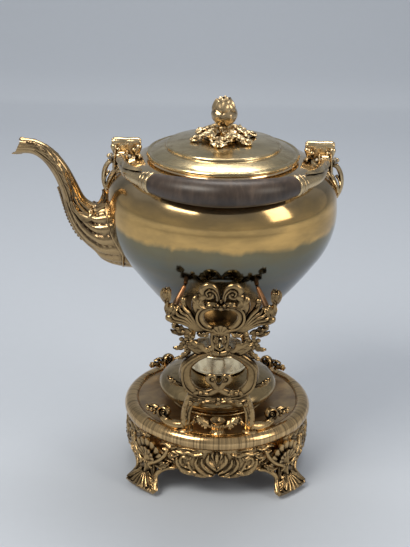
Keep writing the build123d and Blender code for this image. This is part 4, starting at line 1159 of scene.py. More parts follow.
class KETTLE_OT_lid(bpy.types.Operator):
    """Build the stepped lid with its leaf calyx and rosebud finial"""

    bl_idname = "kettle.lid"
    bl_label = "Lid"

    def execute(self, context):
        sides = context.scene.kettle_body.sides
        finish = satin_plate("Lid plate", (0.78, 0.62, 0.36), (0.54, 0.42, 0.23), (0.24, 0.18, 0.10), 0.19)
        place("lid_top", lid_cover(sides), finish, "lid", ("lid_cover",))
        finish_nodes(["lid_flange"], finish)
        petal = cast_metal("Finial plate", (0.86, 0.68, 0.40), (0.50, 0.36, 0.20), (0.04, 0.026, 0.013),
            0.26, 2.8, 80)
        rose = cast_metal("Rosebud", (0.74, 0.55, 0.31), (0.20, 0.135, 0.075), (0.02, 0.013, 0.008),
            0.26, 3.5, 80)
        one, small = calyx_leaves()
        low = copies("calyx_low", one, [(0, 0, 300.6, 0, 0, 60 * k + 20) for k in range(6)], petal)
        high = copies("calyx_high", small, [(0, 0, 300.8, 0, 0, 60 * k + 50) for k in range(6)], petal)
        place("calyx", low, petal, "lid", ("finial_calyx",))
        place("calyx_upper", high, petal, "lid", ())
        place("calyx_hub", calyx_hub(), petal, "lid", ())
        place("rosebud", rosebud(), rose, "lid", ("finial_bud",))
        finish_nodes(["finial_stud", "finial_nut"], screw_steel())
        return {"FINISHED"}


# Stand frames: drawn in their own leaning plane as x, height along the plane and depth outwards

LEAN = math.radians(12)
FRAME_MATRIX = np.array([[1, 0, 0], [0, -math.sin(LEAN), -math.cos(LEAN)],
    [0, math.cos(LEAN), -math.sin(LEAN)]])
FRAME_SHIFT = (0, -66, PLATE_TOP)


def stand_up(casting):
    return casting.moved(FRAME_MATRIX, FRAME_SHIFT)


def front_and_back(name, casting, nodes, finish):
    """Places a piece of the front frame and the same piece in the back frame."""
    back = casting.copy().moved(about_z(180))
    place("front_" + name, casting, finish, "stand", tuple("front_" + n for n in nodes))
    place("back_" + name, back, finish, "stand", tuple("back_" + n for n in nodes))


def lyre_leg():
    """The right leg with its reed and the leaves at its top and foot."""
    art = Casting()
    art.add(stem([(26, 1.5, 0, 5.2), (27.4, 10, 0.2, 4.6), (27.6, 20, 0.4, 4.2), (25, 31, 0.8, 4.4),
        (22.6, 40, 0.8, 3.8)], 14, 40, 0.85))
    art.add(stem([(24.4, 3, 2.8, 1.4), (24.6, 14, 3.4, 1.2), (24, 24, 3.6, 1.2), (21, 34, 3.4, 1)], 8, 24))
    art.add(leaf([(24, 38, 3, 1.2), (26, 33, 3.6, 2.8), (27, 27, 3.4, 2.2),
        (26.6, 22, 3, 0.6)], thick=2, count=26))
    art.add(leaf([(27, 3, 2.8, 4.6), (27.6, 9, 3.4, 4.2), (27.4, 15, 3.2, 2.4), (27, 19, 2.8, 0.6)],
        cut=0.25, thick=2.2, count=26))
    return art


def lyre_oval():
    """The right side of the oval: a bar that winds in to a scroll, its reed and a leaf."""
    art = Casting()
    art.add(stem([(7.2, 90, 0.6, 3), (12, 84.5, 1.2, 3.6), (20, 80, 1.2, 4.4), (27, 72, 1, 5),
        (28.4, 62, 1, 5.1), (26, 52, 1, 4.8), (19.5, 44.5, 1, 4.4), (11, 42.6, 1.4, 4), (3, 46, 1.8, 3.6),
        (-2.6, 51, 2.2, 3.2), (-5, 55, 2.4, 2.9)], 16, 90, 0.8))
    art.add(stem([(9, 87, 4.2, 1), (20, 82, 4.6, 1.2), (29, 73, 4.6, 1.3), (30.8, 62, 4.4, 1.3),
        (28, 50, 4.4, 1.2), (19.5, 42, 4.2, 1.1), (10, 39.8, 4.4, 1)], 8, 60))
    art.add(stem(spiral((-5.6, 59.4, 2.4), 4.4, 1.15, 2.5, -95, -1, 0.22), 10, 36, 0.9))
    art.add(bead((-5.4, 59.2, 3.2), 1.9))
    art.add(leaf([(30, 50, 1, 0.8), (34, 52, 1.6, 3), (38, 54.5, 2, 3.4), (41, 57.5, 2.2, 2.6),
        (43, 61, 2.6, 0.6)], thick=2.4, count=30))
    art.add(bead((40.2, 57.8, 3), 2.7, (1, 1, 0.9)))
    art.add(bead((37.2, 56.2, 3.4), 1.7))
    return art


def lyre_band():
    """The leaves and beads over the crossing of the scrolls."""
    art = Casting()
    art.add(leaf([(24, 39, 2.6, 1.6), (19, 37, 3.6, 3.4), (13, 36.4, 4, 3.2), (7, 38, 4.4, 3),
        (1, 36.2, 4.6, 1.2)], lobes=4, cut=0.32, thick=2.6, rib=0.9, count=40))
    art.add(leaf([(22, 42, 3.6, 1), (18, 45, 4.6, 3.2), (13, 46.6, 5, 3),
        (9, 45, 5, 0.8)], thick=2.2, count=26))
    art.add(bead((15, 46.8, 6), 1.9))
    art.add(bead((23.5, 33.5, 4), 2.4, (1, 1.3, 0.8)))
    return art


def lyre_waist():
    """Half of the waist block, round half of its lozenge hole."""
    art = Casting()
    art.add(stem([(6, 84, 0, 2.8), (6, 92, 0.3, 2), (6.4, 100, 0.3, 2), (6, 107.5, 0, 2.8)], 12, 24))
    art.add(stem([(1.8, 84.5, 0.8, 2.6), (6.5, 86, 0.8, 2.8)], 10, 8))
    art.add(stem([(1.5, 104, 0.8, 2.2), (6, 105.5, 0.6, 2.4)], 10, 8))
    art.add(stem([(0.4, 87.4, 0, 1.6), (4.6, 91.8, 0, 1.6), (0.4, 96.6, 0, 1.6)], 8, 18))
    art.add(leaf([(2.6, 96, 2.4, 1.8), (3.4, 100, 2.8, 2.4), (2.4, 104, 3, 0.8)], lobes=2, thick=2))
    return art


def lyre_rosette():
    """The beaded rosette beside the waist, with its stalk and leaves."""
    art = Casting()
    art.add(leaf([(6, 84, 2, 1.6), (12, 88.5, 3, 4.4), (19, 93.5, 3.4, 5), (26, 97, 3.2, 2)],
        cut=0.32, thick=3, count=36))
    art.add(stem([(14, 82, 0, 3.4), (19, 88, 0.6, 3.8), (24, 93, 1, 3.6)], 12, 16))
    centre = (26, 96.4, 2.4)
    art.add(bead(centre, 2.4, (1, 1, 0.8)))
    for ring, (count, r, size) in enumerate(((6, 3.6, 2), (7, 5.9, 2.3))):
        for k in range(count):
            a = 2 * math.pi * k / count + ring * 0.4
            spot = (centre[0] + r * math.cos(a), centre[1] + r * math.sin(a), 2.2 - ring)
            art.add(bead(spot, size, (1, 1, 0.62), 5, 9))
    art.add(leaf([(28, 92, 1, 1.4), (32, 90.4, 1.4, 3.2), (36, 90, 1.8, 1.8), (38.4, 90.6, 2, 0.5)],
        lobes=2, cut=0.25, thick=2.4, count=24))
    art.add(leaf([(24, 90, 1, 1.4), (27, 85, 1.6, 3.4), (31, 81, 1.8, 2.6),
        (34, 79, 1.8, 0.6)], thick=2.4, count=26))
    return art


def lyre_art():
    """Legs, the oval of two scrolls that cross and curl, the leafy cross band and the waist."""
    art = Casting()
    for part in (lyre_leg(), lyre_oval(), lyre_band(), lyre_waist(), lyre_rosette()):
        art.joined(part)
    art.with_mirror()
    art.add(bead((0, 35.2, 5), 2.2, (1.2, 1.4, 0.8)))
    art.add(bead((0, 39.4, 5.4), 1.8))
    return art


def crown_heart():
    """Half of the heart: the arched bar, its reed, and the volute on top."""
    art = Casting()
    art.add(stem([(7, 109, 0.5, 3), (12.5, 113.5, 1.2, 3), (16.2, 120, 1.6, 3), (15.4, 127, 1.8, 3),
        (10, 131.6, 2.2, 2.8), (3, 132.8, 2.6, 2.6), (0.2, 132.2, 2.8, 2.4)], 12, 50, 0.9))
    art.add(stem([(6, 109, 3.4, 1.1), (14, 112.5, 4.2, 1.1), (19, 120, 4.6, 1.2), (18.2, 129, 4.8, 1.2),
        (12, 134.4, 5.2, 1.1), (4, 135.6, 5.4, 1)], 8, 44))
    art.add(stem([(17, 124, 0.6, 3.6), (19.4, 131, 0.8, 4.2), (18.2, 138.5, 0.8, 4.8),
        (13.8, 143, 1, 4.4)], 14, 30, 0.9))
    art.add(leaf([(12, 133, 4, 2.2), (16.5, 135.8, 4.6, 5.2), (18.6, 139.6, 3.8, 4.8), (19, 144, 1.8, 1.2)],
        lobes=2, cut=0.24, thick=3, rib=1, count=26))
    art.add(stem([(1.6, 138, 2.6, 1.6), (2.6, 144, 2.4, 1.9), (5.6, 150.6, 1.6, 2.6), (10.4, 152.4, 1, 3.2),
        (14.4, 149.4, 0.8, 3.4), (14.6, 144.6, 1.2, 3), (11, 141.6, 2, 2.6), (7.4, 142.8, 2.6, 2.1),
        (6.6, 145.4, 2.8, 1.6)], 14, 76, 0.95))
    art.add(stem([(3, 140, 4.6, 0.7), (4, 146, 4.6, 0.8), (8, 150, 4.4, 0.9), (12, 148, 4.4, 0.8),
        (11, 144.6, 4.6, 0.7)], 8, 34))
    art.add(bead((9.2, 146, 2.8), 2.2, (1, 1, 0.9)))
    art.add(leaf([(1.4, 134, 4.6, 1.2), (5.4, 136.6, 5.4, 2.6), (9.4, 137, 5.4, 2.2),
        (12.4, 135.4, 5, 0.6)], lobes=2, cut=0.25, thick=2.2))
    for x, s, r in ((2.6, 136.8, 1.5), (5.4, 133.6, 1.2)):
        art.add(bead((x, s, 6.4), r))
    return art


def crown_arm():
    """The arm of fanned ribs, with its leaves and beads."""
    art = Casting()
    for k in range(5):
        q = k / 4
        rows = [(10 + 1.6 * k, 108.6 - 0.6 * k, 0.8, 1.5), (18 + 1.2 * k, 112 + 0.6 * (4 - k), 1.8, 2.1),
            (25 + 1.6 * k, 117 + 2.2 * (4 - k), 2.2, 2.2), (29.4 + 2.6 * k, 128.4 - 2.6 * k + 2.2 * (1 - q),
            2, 1.9), (31 + 2.8 * k, 134 - 3.6 * k + (1 - q), 1.2, 1.2)]
        art.add(stem(rows, 10, 30, 1.15))
    art.add(stem([(18, 110, -1, 4), (27, 117, -1, 5), (35, 121, -0.6, 4),
        (40.6, 120.6, -0.4, 3.2)], 14, 24, 0.7))
    art.add(stem([(27, 124, -0.4, 3.4), (29.4, 131, 0, 2.6), (30.6, 137, 0.6, 2.2)], 12, 20))
    art.add(bead((30.4, 138.6, 1), 2.7))
    art.add(leaf([(24, 105.5, 0.6, 1.8), (29, 107.5, 1.6, 4.2), (34, 110, 1.8, 4.4), (38.6, 114, 1.4, 2)],
        cut=0.32, thick=2.8, count=30))
    art.add(leaf([(28, 104.5, 0.4, 1.4), (33, 104.8, 1.4, 3), (37.6, 106.4, 1.6, 2.2),
        (40.6, 108.4, 1.4, 0.5)], lobes=2, cut=0.28, thick=2.4))
    for x, s, r in ((30.5, 108.5, 1.9), (34.8, 112, 1.8), (37.6, 116, 1.7)):
        art.add(bead((x, s, 4), r))
    art.add(leaf([(9, 108, 3, 1.6), (12, 105.4, 3.6, 2.8), (16, 105, 3.4, 2.2),
        (19, 106.4, 3, 0.5)], lobes=2, thick=2.4))
    return art


def crown_bud():
    """The knob at the arm's end, and the open bud on its stalk."""
    art = Casting()
    art.add(bead((41, 119.4, -0.6), 4.2, (1, 0.9, 0.95), 9, 14))
    art.add(stem([(40, 122, -1.2, 2.2), (42.6, 128, -1.8, 1.8), (44, 134, -2.2, 2.2)], 10, 18))
    for k in range(5):
        a = 2 * math.pi * k / 5
        c, s = math.cos(a), math.sin(a)
        rows = [(44.2 + c, 134, -2.4 + s, 1.2), (44.2 + 3 * c, 138.5, -2.4 + 3 * s, 2.4),
            (44.2 + 3 * c, 143, -2.4 + 3 * s, 2), (44.2 + 1.2 * c, 146.6, -2.4 + 1.2 * s, 0.6)]
        art.add(leaf(rows, (c, 0.1, s), cut=0.22, thick=1.7, cup=-0.2, rib=0.9, count=22))
    art.add(bead((44.2, 140, -2.4), 2.8, (1, 1.8, 1), 8, 10))
    return art


def cradle_art():
    """The crown: a heart of volutes over an arched opening, and two fan-ribbed arms with knob and bud."""
    art = Casting()
    for part in (crown_heart(), crown_arm(), crown_bud()):
        art.joined(part)
    art.with_mirror()
    art.add(fan((0, 106, 2.4), (0, 1, 0), (0, 0, 1), 9, 150, 5, 2.4, 0.6, 0.15, 1, 0.12))
    art.add(stem([(-9, 108.4, 0.6, 2.4), (0, 107, 1, 3), (9, 108.4, 0.6, 2.4)], 12, 20))
    art.add(bead((0, 133.6, 5.2), 2.4, (1, 1.2, 0.9)))
    art.add(bead((0, 138.6, 3.6), 1.7, (1, 1.5, 1)))
    return art


class KETTLE_OT_frames(bpy.types.Operator):
    """Build the front and back frames of the stand: lyres, crowns, garlands and scroll feet"""

    bl_idname = "kettle.frames"
    bl_label = "Stand frames"

    def execute(self, context):
        finish = cast_bronze()
        front_and_back("lyre_casting", stand_up(lyre_art()), ("lyre",), finish)
        front_and_back("crown_casting", stand_up(cradle_art()), ("cradle",), finish)
        front_and_back("swag", garland_art(), ("garland",), finish)
        right = scroll_foot_art()
        left = right.copy().moved(MIRROR)
        for name, shape in (("right", right), ("left", left)):
            back = shape.copy().moved(about_z(180))
            other = {"right": "left", "left": "right"}[name]
            place("front_scroll_" + name, shape, finish, "stand", (f"front_{name}_scroll_foot",))
            place("back_scroll_" + other, back, finish, "stand", (f"back_{other}_scroll_foot",))
        return {"FINISHED"}


def garland_art():
    """The swag of leaves between the legs, gathered on a small fluted foot."""
    art = Casting()
    y = -71.5
    art.add(leaf([(2.5, y - 1, 67, 1.8), (7.5, y - 2, 67.4, 3), (12.5, y - 2, 70.6, 3.4),
        (17, y - 1, 73.6, 2.8), (19.5, y, 72, 0.8)], (0, -1, 0.5), lobes=4, thick=2.6, count=36))
    art.add(stem([(19, y + 0.5, 72.6, 2), (21.5, y + 1.5, 69, 1.8), (24, y + 2.5, 66, 1.6)], 10, 16))
    art.add(leaf([(17, y - 0.5, 72, 1.4), (20.5, y - 0.5, 69.6, 2.4), (23, y, 66, 0.6)],
        (0, -1, 0.3), lobes=2, thick=2))
    for x, z, r in ((10.5, 65.4, 1.7), (13, 67, 1.5), (15.2, 69.4, 1.6)):
        art.add(bead((x, y - 2.6, z), r))
    art.with_mirror()
    base = Casting()
    for k in range(7):
        a = math.radians(-78 + 26 * k)
        c, s = math.cos(a), math.sin(a)
        rows = [(5.8 * s, y - 4.4 * c + 0.5, 58.6, 1.5), (4.2 * s, y - 3.4 * c, 63, 1.2),
            (5.6 * s, y - 4 * c, 67.4, 1.5)]
        base.add(stem(rows, 8, 14, 1, (0, -1, 0)))
    cup = [(0, ON_PLATE), (6.2, ON_PLATE), (6.6, 59.4), (4.2, 61.6), (3.6, 64.4), (5, 68.6), (6.6, 71.4),
        (5.8, 71.6), (3, 68.2), (0, 67.4)]
    base.joined(Casting().add(turned(rounded(cup, 1, 3), 28)).moved(np.eye(3), (0, y, 0)))
    return art.joined(base)


def scroll_foot_art():
    """A C-scroll from the leg along the plate to a coil, with a bud of beads and leaves at its end."""
    art = Casting()
    art.add(stem([(27.5, -67.5, 66.5, 3.2), (31, -66.5, 63.4, 4.2), (36.5, -64, 62.4, 4.4),
        (42, -60.5, 62, 3.8), (47, -56, 63.2, 3)], 16, 34, 1, (0, -0.3, 1)))
    coil = Casting().add(stem(spiral((0, 0, 0), 6.6, 1.9, 1.75, -110, 1, 0.12), 12, 70, 2))
    coil.add(bead((0, 0, 0.6), 1.5, (1, 1, 1.8)))
    turn = np.array([[math.cos(0.55), 0, math.sin(0.55)], [math.sin(0.55), 0, -math.cos(0.55)], [0, 1, 0]])
    coil.moved(turn, (46, -52.5, 68.2))
    art.joined(coil)
    art.add(leaf([(33, -65.5, 63.8, 1.6), (38, -63.4, 63.8, 3.2), (43, -60, 64.4, 3), (47, -56.5, 66, 0.8)],
        (0.1, -0.4, 1), cut=0.28, thick=2.2, count=28))
    for (x, y, z), r in (((51.5, -49, 67), 2.7), ((54.6, -47, 68.4), 2.2), ((55, -46.6, 64.6), 2),
            ((57.6, -45, 66.8), 2.6), ((60.6, -43, 67.2), 2.9)):
        art.add(bead((x, y, z), r, (1, 1, 1), 7, 10))
    art.add(leaf([(50, -50, 69.6, 1.2), (53.6, -47.8, 71.4, 2.4), (57, -45.6, 71.4, 1.8),
        (59.4, -44, 70.2, 0.5)], (0.2, -0.2, 1), lobes=2, cut=0.28, thick=1.8))
    for k in range(5):
        a = 2 * math.pi * k / 5
        art.add(bead((61.6 + 1.4 * math.cos(a), -42.4 + 0.9 * math.cos(a), 67.2 + 2 * math.sin(a)),
            1.3, (1, 1, 1), 5, 8))
    art.add(bead((28, -68, 59.6), 6.4, (1.15, 0.95, 0.42), 8, 18))
    return art.changed(lambda p: np.c_[p[:, :2], np.maximum(p[:, 2], ON_PLATE)])


class KETTLE_OT_prongs(bpy.types.Operator):
    """Build the four tapered rods that carry the kettle, and their petalled cups"""

    bl_idname = "kettle.prongs"
    bl_label = "Prongs"

    def execute(self, context):
        socket_in_frame = (41, 121.5, 0)
        root = FRAME_MATRIX @ np.array(socket_in_frame) + np.array(FRAME_SHIFT)
        contact_x, contact_height = 29.3, 199.4
        contact_y = -math.sqrt(kettle_radius(contact_height) ** 2 - contact_x**2)
        contact = np.array([contact_x, contact_y, contact_height])
        way = unit(contact - root)
        start = root + way * 3
        tip = contact - way * 1.95
        seat = start + way * 4.4
        rod = Casting().add(stem([(*(start - way * 4), 1.6), (*seat, 1.6)], 12, 6, 1, (1, 0, 0)))
        rod.add(stem([(*seat, 2.9), (*(seat + (tip - seat) * 0.5), 2.5), (*tip, 1.75)],
            20, 24, 1, (1, 0, 0)))
        cup = Casting()
        side = unit(np.cross(way, (0, 0, 1)))
        up = np.cross(side, way)
        cup.add(ring_band(start + way, way, 5.8, 1.7))
        cup.add(ring_band(seat, way, 5.4, 1.3))
        cup.add(stem([(*(start - way), 3.4), (*(start + way * 4.6), 3.7)], 14, 6, 1, (1, 0, 0)))
        for k in range(7):
            a = 2 * math.pi * k / 7
            ray = math.cos(a) * side + math.sin(a) * up
            rows = [(*(start - way * 2.4 + ray * 2.6), 1.2), (*(start + way * 0.6 + ray * 5.6), 2.8),
                (*(start + way * 3.8 + ray * 6.4), 2.7), (*(start + way * 6.4 + ray * 6.2), 0.8)]
            cup.add(leaf(rows, ray, lobes=2, cut=0.1, thick=1.4, cup=-0.15, rib=0.9, count=14))
        copper = copper_rod()
        for end, spin in (("front", 0), ("back", 180)):
            for name, way_x in (("right", 1), ("left", -1)):
                matrix = about_z(spin) @ np.diag([way_x if end == "front" else -way_x, 1, 1])
                place(f"{end}_rod_{name}", rod.copy().moved(matrix), copper, "stand",
                    (f"{end}_{name}_prong",))
                place(f"{end}_cup_{name}", cup.copy().moved(matrix), cast_bronze(), "stand",
                    (f"{end}_{name}_prong_cup",))
        return {"FINISHED"}


# Base

class KETTLE_OT_base(bpy.types.Operator):
    """Build the base: the spun plate with its rolled rim, the chased apron, four feet and the screws"""

    bl_idname = "kettle.base"
    bl_label = "Base"

    def execute(self, context):
        look = context.scene.kettle_stand
        sides = context.scene.kettle_body.sides
        rim_radius, rim_height, rim_round, rim_wall = 76.5, 52.5, 7.5, 2

        def rolled(r, angles):
            return [(rim_radius + r * math.cos(a), rim_height + r * math.sin(a))
                for a in np.radians(angles)]

        rim = rolled(rim_round, np.linspace(133, -60, 30))
        inner = rolled(rim_round - rim_wall, np.linspace(-60, 128, 24))
        top = [(0, PLATE_TOP), (40, PLATE_TOP), (68, PLATE_TOP), (70.4, 58.1)]
        under = [(72, 55.2), (60, 55), (0, 55)]
        plate = Casting().add(turned(top + rim + inner + under, sides))
        place("plate", plate, rim_plate(look), "stand", ("base_plate",))
        finish = cast_bronze()
        place("apron", apron_art(), finish, "stand", ("base_apron",))
        foot = foot_art()
        for angle, name in ((45, "back_right"), (135, "back_left"), (225, "front_left"),
                (315, "front_right")):
            place("leaf_foot_" + name, foot.copy().moved(about_z(angle)), finish, "stand",
                ("foot_" + name,))
        steel = screw_steel()
        frame_screw_x, frame_screw_y, garland_screw_y, plate_under = 25.5, 66.3, 70, 55
        foot_screw_radius, foot_screw_height = 78.2, 34
        head = Casting().add(turned(rounded([(0, -5.6), (1.5, -5.6), (1.5, 0), (2.8, 0), (2.8, 1.6),
            (0, 1.6)], 0.3, 3), 24))
        head.add(stem([(-2.2, 0, 1.75, 0.25), (2.2, 0, 1.75, 0.25)], 6, 4))
        low = [(x, -t * frame_screw_y, plate_under, 180, 0, 25 * t) for t in (1, -1)
            for x in (frame_screw_x, -frame_screw_x)]
        low += [(0, -t * garland_screw_y, plate_under, 180, 0, 40) for t in (1, -1)]
        place("frame_screw_heads", copies("frame_screw_heads", head, low, steel), steel, "stand",
            ("frame_screws",))
        side = []
        for angle in (45, 135, 225, 315):
            a = math.radians(angle)
            side.append((foot_screw_radius * math.cos(a), foot_screw_radius * math.sin(a),
                foot_screw_height, 0, -90, angle))
        place("foot_screw_heads", copies("foot_screw_heads", head, side, steel), steel, "stand",
            ("foot_screws",))
        return {"FINISHED"}


def strokes(s, z, rows):
    """Height of raised strokes at each point of a grid; each is points, half width and height."""
    height = np.zeros_like(s)
    for points, width, top in rows:
        p = along_line([(a, b, 0) for a, b in points], 26)
        share = np.linspace(0, 1, len(p))
        taper = np.sin(np.pi * (0.12 + 0.80 * share)) ** 0.6
        best = np.full(s.shape, 9.0)
        for i, (a, b, _) in enumerate(p):
            d = np.hypot(s - a, z - b) / (width * taper[i])
            best = np.minimum(best, d)
        height = np.maximum(height, top * np.sqrt(np.clip(1 - best**2, 0, 1)))
    return height


APRON_ART = (
    (((0, 27), (4, 31), (8, 36), (7, 42)), 2.2, 2),
    (((1.5, 24), (7, 26.5), (12, 32), (13, 38)), 2, 1.9),
    (((3, 22), (9, 22.5), (15, 26.5), (18, 33), (16, 39)), 2, 2),
    (((9, 20.5), (16, 21.5), (22, 26), (25, 33)), 1.8, 1.7),
    (((18, 24), (24, 22.6), (30, 24.6), (34, 29), (35, 35)), 2.6, 2.6),
    (((24, 27.5), (29, 28.5), (32, 33), (30, 37), (26, 36), (25.6, 32.5)), 1.7, 2),
    (((13, 42), (19, 40), (25, 41.5), (31, 40), (37, 41.5)), 1.7, 1.6),
    (((18, 44.4), (26, 44.8), (34, 44.2)), 1, 1.1),
    (((22, 38.5), (24, 36), (28, 39)), 1.3, 1.3),
    (((34, 38), (39, 35), (43, 37)), 1.4, 1.4),
    (((0, 35), (0, 39), (0, 44)), 1.8, 1.8),
    (((3, 38), (4, 42), (2.5, 45)), 1.3, 1.4),
    (((36, 44.5), (42, 42), (47, 44), (53, 42.5)), 1.6, 1.6),
    (((37, 32), (42, 33.5), (46, 38), (50, 40)), 1.7, 1.8),
    (((40, 28.5), (46, 30), (50, 34.5), (55, 36)), 1.7, 1.8),
    (((33, 41), (36, 39), (40, 40)), 1.2, 1.3),
)


def apron_edge(s):
    """Height of the apron's lower edge at an arc length from the middle of a side."""
    notch = 3 * np.exp(-((s / 3) ** 2))
    drop = -2.2 * np.exp(-((s - 15) / 7.5) ** 2)
    arch = 3 * np.exp(-((s - 39) / 8) ** 2)
    small = 0.55 * np.abs(np.sin(s * math.pi / 5))
    return 21.2 + notch + drop + arch - small


def apron_art():
    """The relief band under the rim, one pattern mirrored and repeated on four sides."""
    steps, rows = 96, 46
    radius, inner_radius, top_height = 80, 77.6, 46.2
    quarter = radius * math.pi / 4
    s = np.linspace(0, quarter, steps)
    low = apron_edge(s)
    v = np.linspace(0, 1, rows)[:, None]
    grid_s = np.broadcast_to(s, (rows, steps))
    grid_z = low + (top_height - low) * v
    relief = strokes(grid_s, grid_z, APRON_ART)
    flutes = 0.5 * np.abs(np.sin(grid_s * 1.9 + 0.25 * grid_z)) * np.clip((relief - 0.6), 0, 1)
    grain = 0.18 * np.sin(grid_s * 3.1) * np.sin(grid_z * 3.3)
    bulge = 1.9 * np.sin(np.pi * np.clip((grid_z - 18) / 28, 0, 1))
    lip = 1.1 * np.exp(-(((grid_z - low) - 0.9) / 1.1) ** 2)
    out = radius - 0.8 + bulge + 1.05 * relief - flutes * 0.5 + grain + lip
    angle_all, z_all, out_all = [], [], []
    for side in range(4):
        for way in (-1, 1):
            angle_all.append((way * grid_s[:, ::way] / radius + side * math.pi / 2)[:, :-1])
            z_all.append(grid_z[:, ::way][:, :-1])
            out_all.append(out[:, ::way][:, :-1])
    angle, z, out = (np.concatenate(q, axis=1) for q in (angle_all, z_all, out_all))
    outer = np.stack([out * np.cos(angle), out * np.sin(angle), z], axis=-1)
    inner = np.stack([inner_radius * np.cos(angle), inner_radius * np.sin(angle), z], axis=-1)
    loop = np.concatenate([outer, inner[::-1]], axis=0)
    return Casting().add(skin(np.swapaxes(loop, 0, 1), closed_run=True))


def foot_art():
    """A leaf foot: a palmette on the apron's corner, a narrow neck and a splayed, scalloped toe."""
    art = Casting()
    rows, across = 40, 49
    spine = [(84.8, 0, 36, 8, 4), (85.8, 0, 28, 9.6, 4.6), (85.6, 0, 20, 9.6, 4.4), (86.4, 0, 14, 11, 4.2),
        (88.6, 0, 8.8, 14.4, 4.4), (92.2, 0, 4.4, 17.8, 4), (96.4, 0, 2, 17.2, 3)]
    spine = along_line(spine, rows)
    t = np.linspace(-1, 1, across)
    rings = []
    for i, (r, _, z, w, thick) in enumerate(spine):
        share = i / (rows - 1)
        a, b = spine[max(i - 1, 0)], spine[min(i + 1, rows - 1)]
        way = unit((b[0] - a[0], b[2] - a[2]))
        out = np.array([-way[1], way[0]])
        toe = np.clip((share - 0.45) / 0.3, 0, 1)
        ribs = np.abs(np.sin(t * math.pi * 4)) ** 0.7
        relief = 1.5 * toe * ribs * (0.4 + 0.6 * np.abs(t)) + 1.2 * np.exp(-((t / 0.16) ** 2))
        relief += 1.3 * np.exp(-(((np.abs(t) - 0.86) / 0.10) ** 2))
        wrap = -0.16 * w * t**2 * (1 - 0.6 * toe)
        scallop = 1 + 0.05 * np.abs(np.sin(t * math.pi * 3.5)) * toe
        body = np.sqrt(np.clip(1 - t**4, 0, 1))
        front = np.c_[r + wrap + out[0] * (0.5 * thick + relief) * body, t * w * scallop,
            z + out[1] * (0.5 * thick + relief) * body]
        back = np.c_[r + wrap - out[0] * 0.5 * thick * body, t * w * scallop,
            z - out[1] * 0.5 * thick * body]
        rings.append(np.vstack([front, back[-2:0:-1]]))
    art.add(skin(rings))
    art.add(fan((84.2, 0, 25), (0, 0, 1), (1, 0, 0), 21.5, 214, 11, 3.2, 1.2, 0.16, 2.2, 0.12))
    art.add(fan((85.4, 0, 27), (0, 0, 1), (1, 0, 0), 12, 170, 7, 3.4, 2.2, 0.2, 1.6, 0.14))
    art.add(fan((87, 0, 15.5), (0.62, 0, -0.78), (0.78, 0, 0.62), 17, 120, 7, 4.2, -0.6, 0.2, 1.8, 0.12))
    half = Casting()
    half.add(stem([(82.6, 27, 24.5, 1.4), (83.6, 21, 23.6, 2.1), (85, 14.6, 19.4, 2.3),
        (86.6, 11.6, 14.4, 2.1), (88.8, 13.8, 9, 1.9), (92.6, 17.2, 4.4, 1.5)], 10, 40, 1, (1, 0, 0)))
    half.add(stem([(84.6, 21.6, 42, 1.2), (85.4, 19, 36, 1.9), (86.4, 14, 30, 2.1), (87.4, 8, 26.4, 2.2),
        (88.2, 4.6, 23.4, 1.8), (88, 6.6, 20.8, 1.4)], 10, 40, 1, (1, 0, 0)))
    half.add(leaf([(84.6, 11, 26, 1), (86.4, 15.6, 25.6, 2.9), (86.2, 20.4, 27.6, 2.6),
        (84.8, 24, 30.6, 0.6)], (1, 0, 0), thick=2.6, rib=0.9, count=30))
    half.add(leaf([(88.6, 3, 17, 1), (91, 8, 12, 2.8), (93.4, 12.6, 7.6, 2.2), (95, 15.6, 5.2, 0.6)],
        (0.7, 0, 0.7), thick=2.4, rib=0.9, count=30))
    art.joined(half.with_mirror(MIRROR_DEPTH))
    for k in range(7):
        art.add(bead((88.4 - 0.25 * abs(k - 3), (k - 3) * 2.3, 24.4 + 0.5 * abs(k - 3)),
            1.5, (1, 1, 1), 6, 8))

    def bent(points):
        """Wraps the upper part of the foot round the apron."""
        wrap_radius = 85
        share = np.clip((points[:, 2] - 6) / 12, 0, 1)
        angle = points[:, 1] * share / wrap_radius
        flat = points[:, 1] * (1 - share)
        r = points[:, 0]
        return np.c_[r * np.cos(angle), r * np.sin(angle) + flat, np.maximum(points[:, 2], 0)]

    return art.changed(bent)


# Lamp

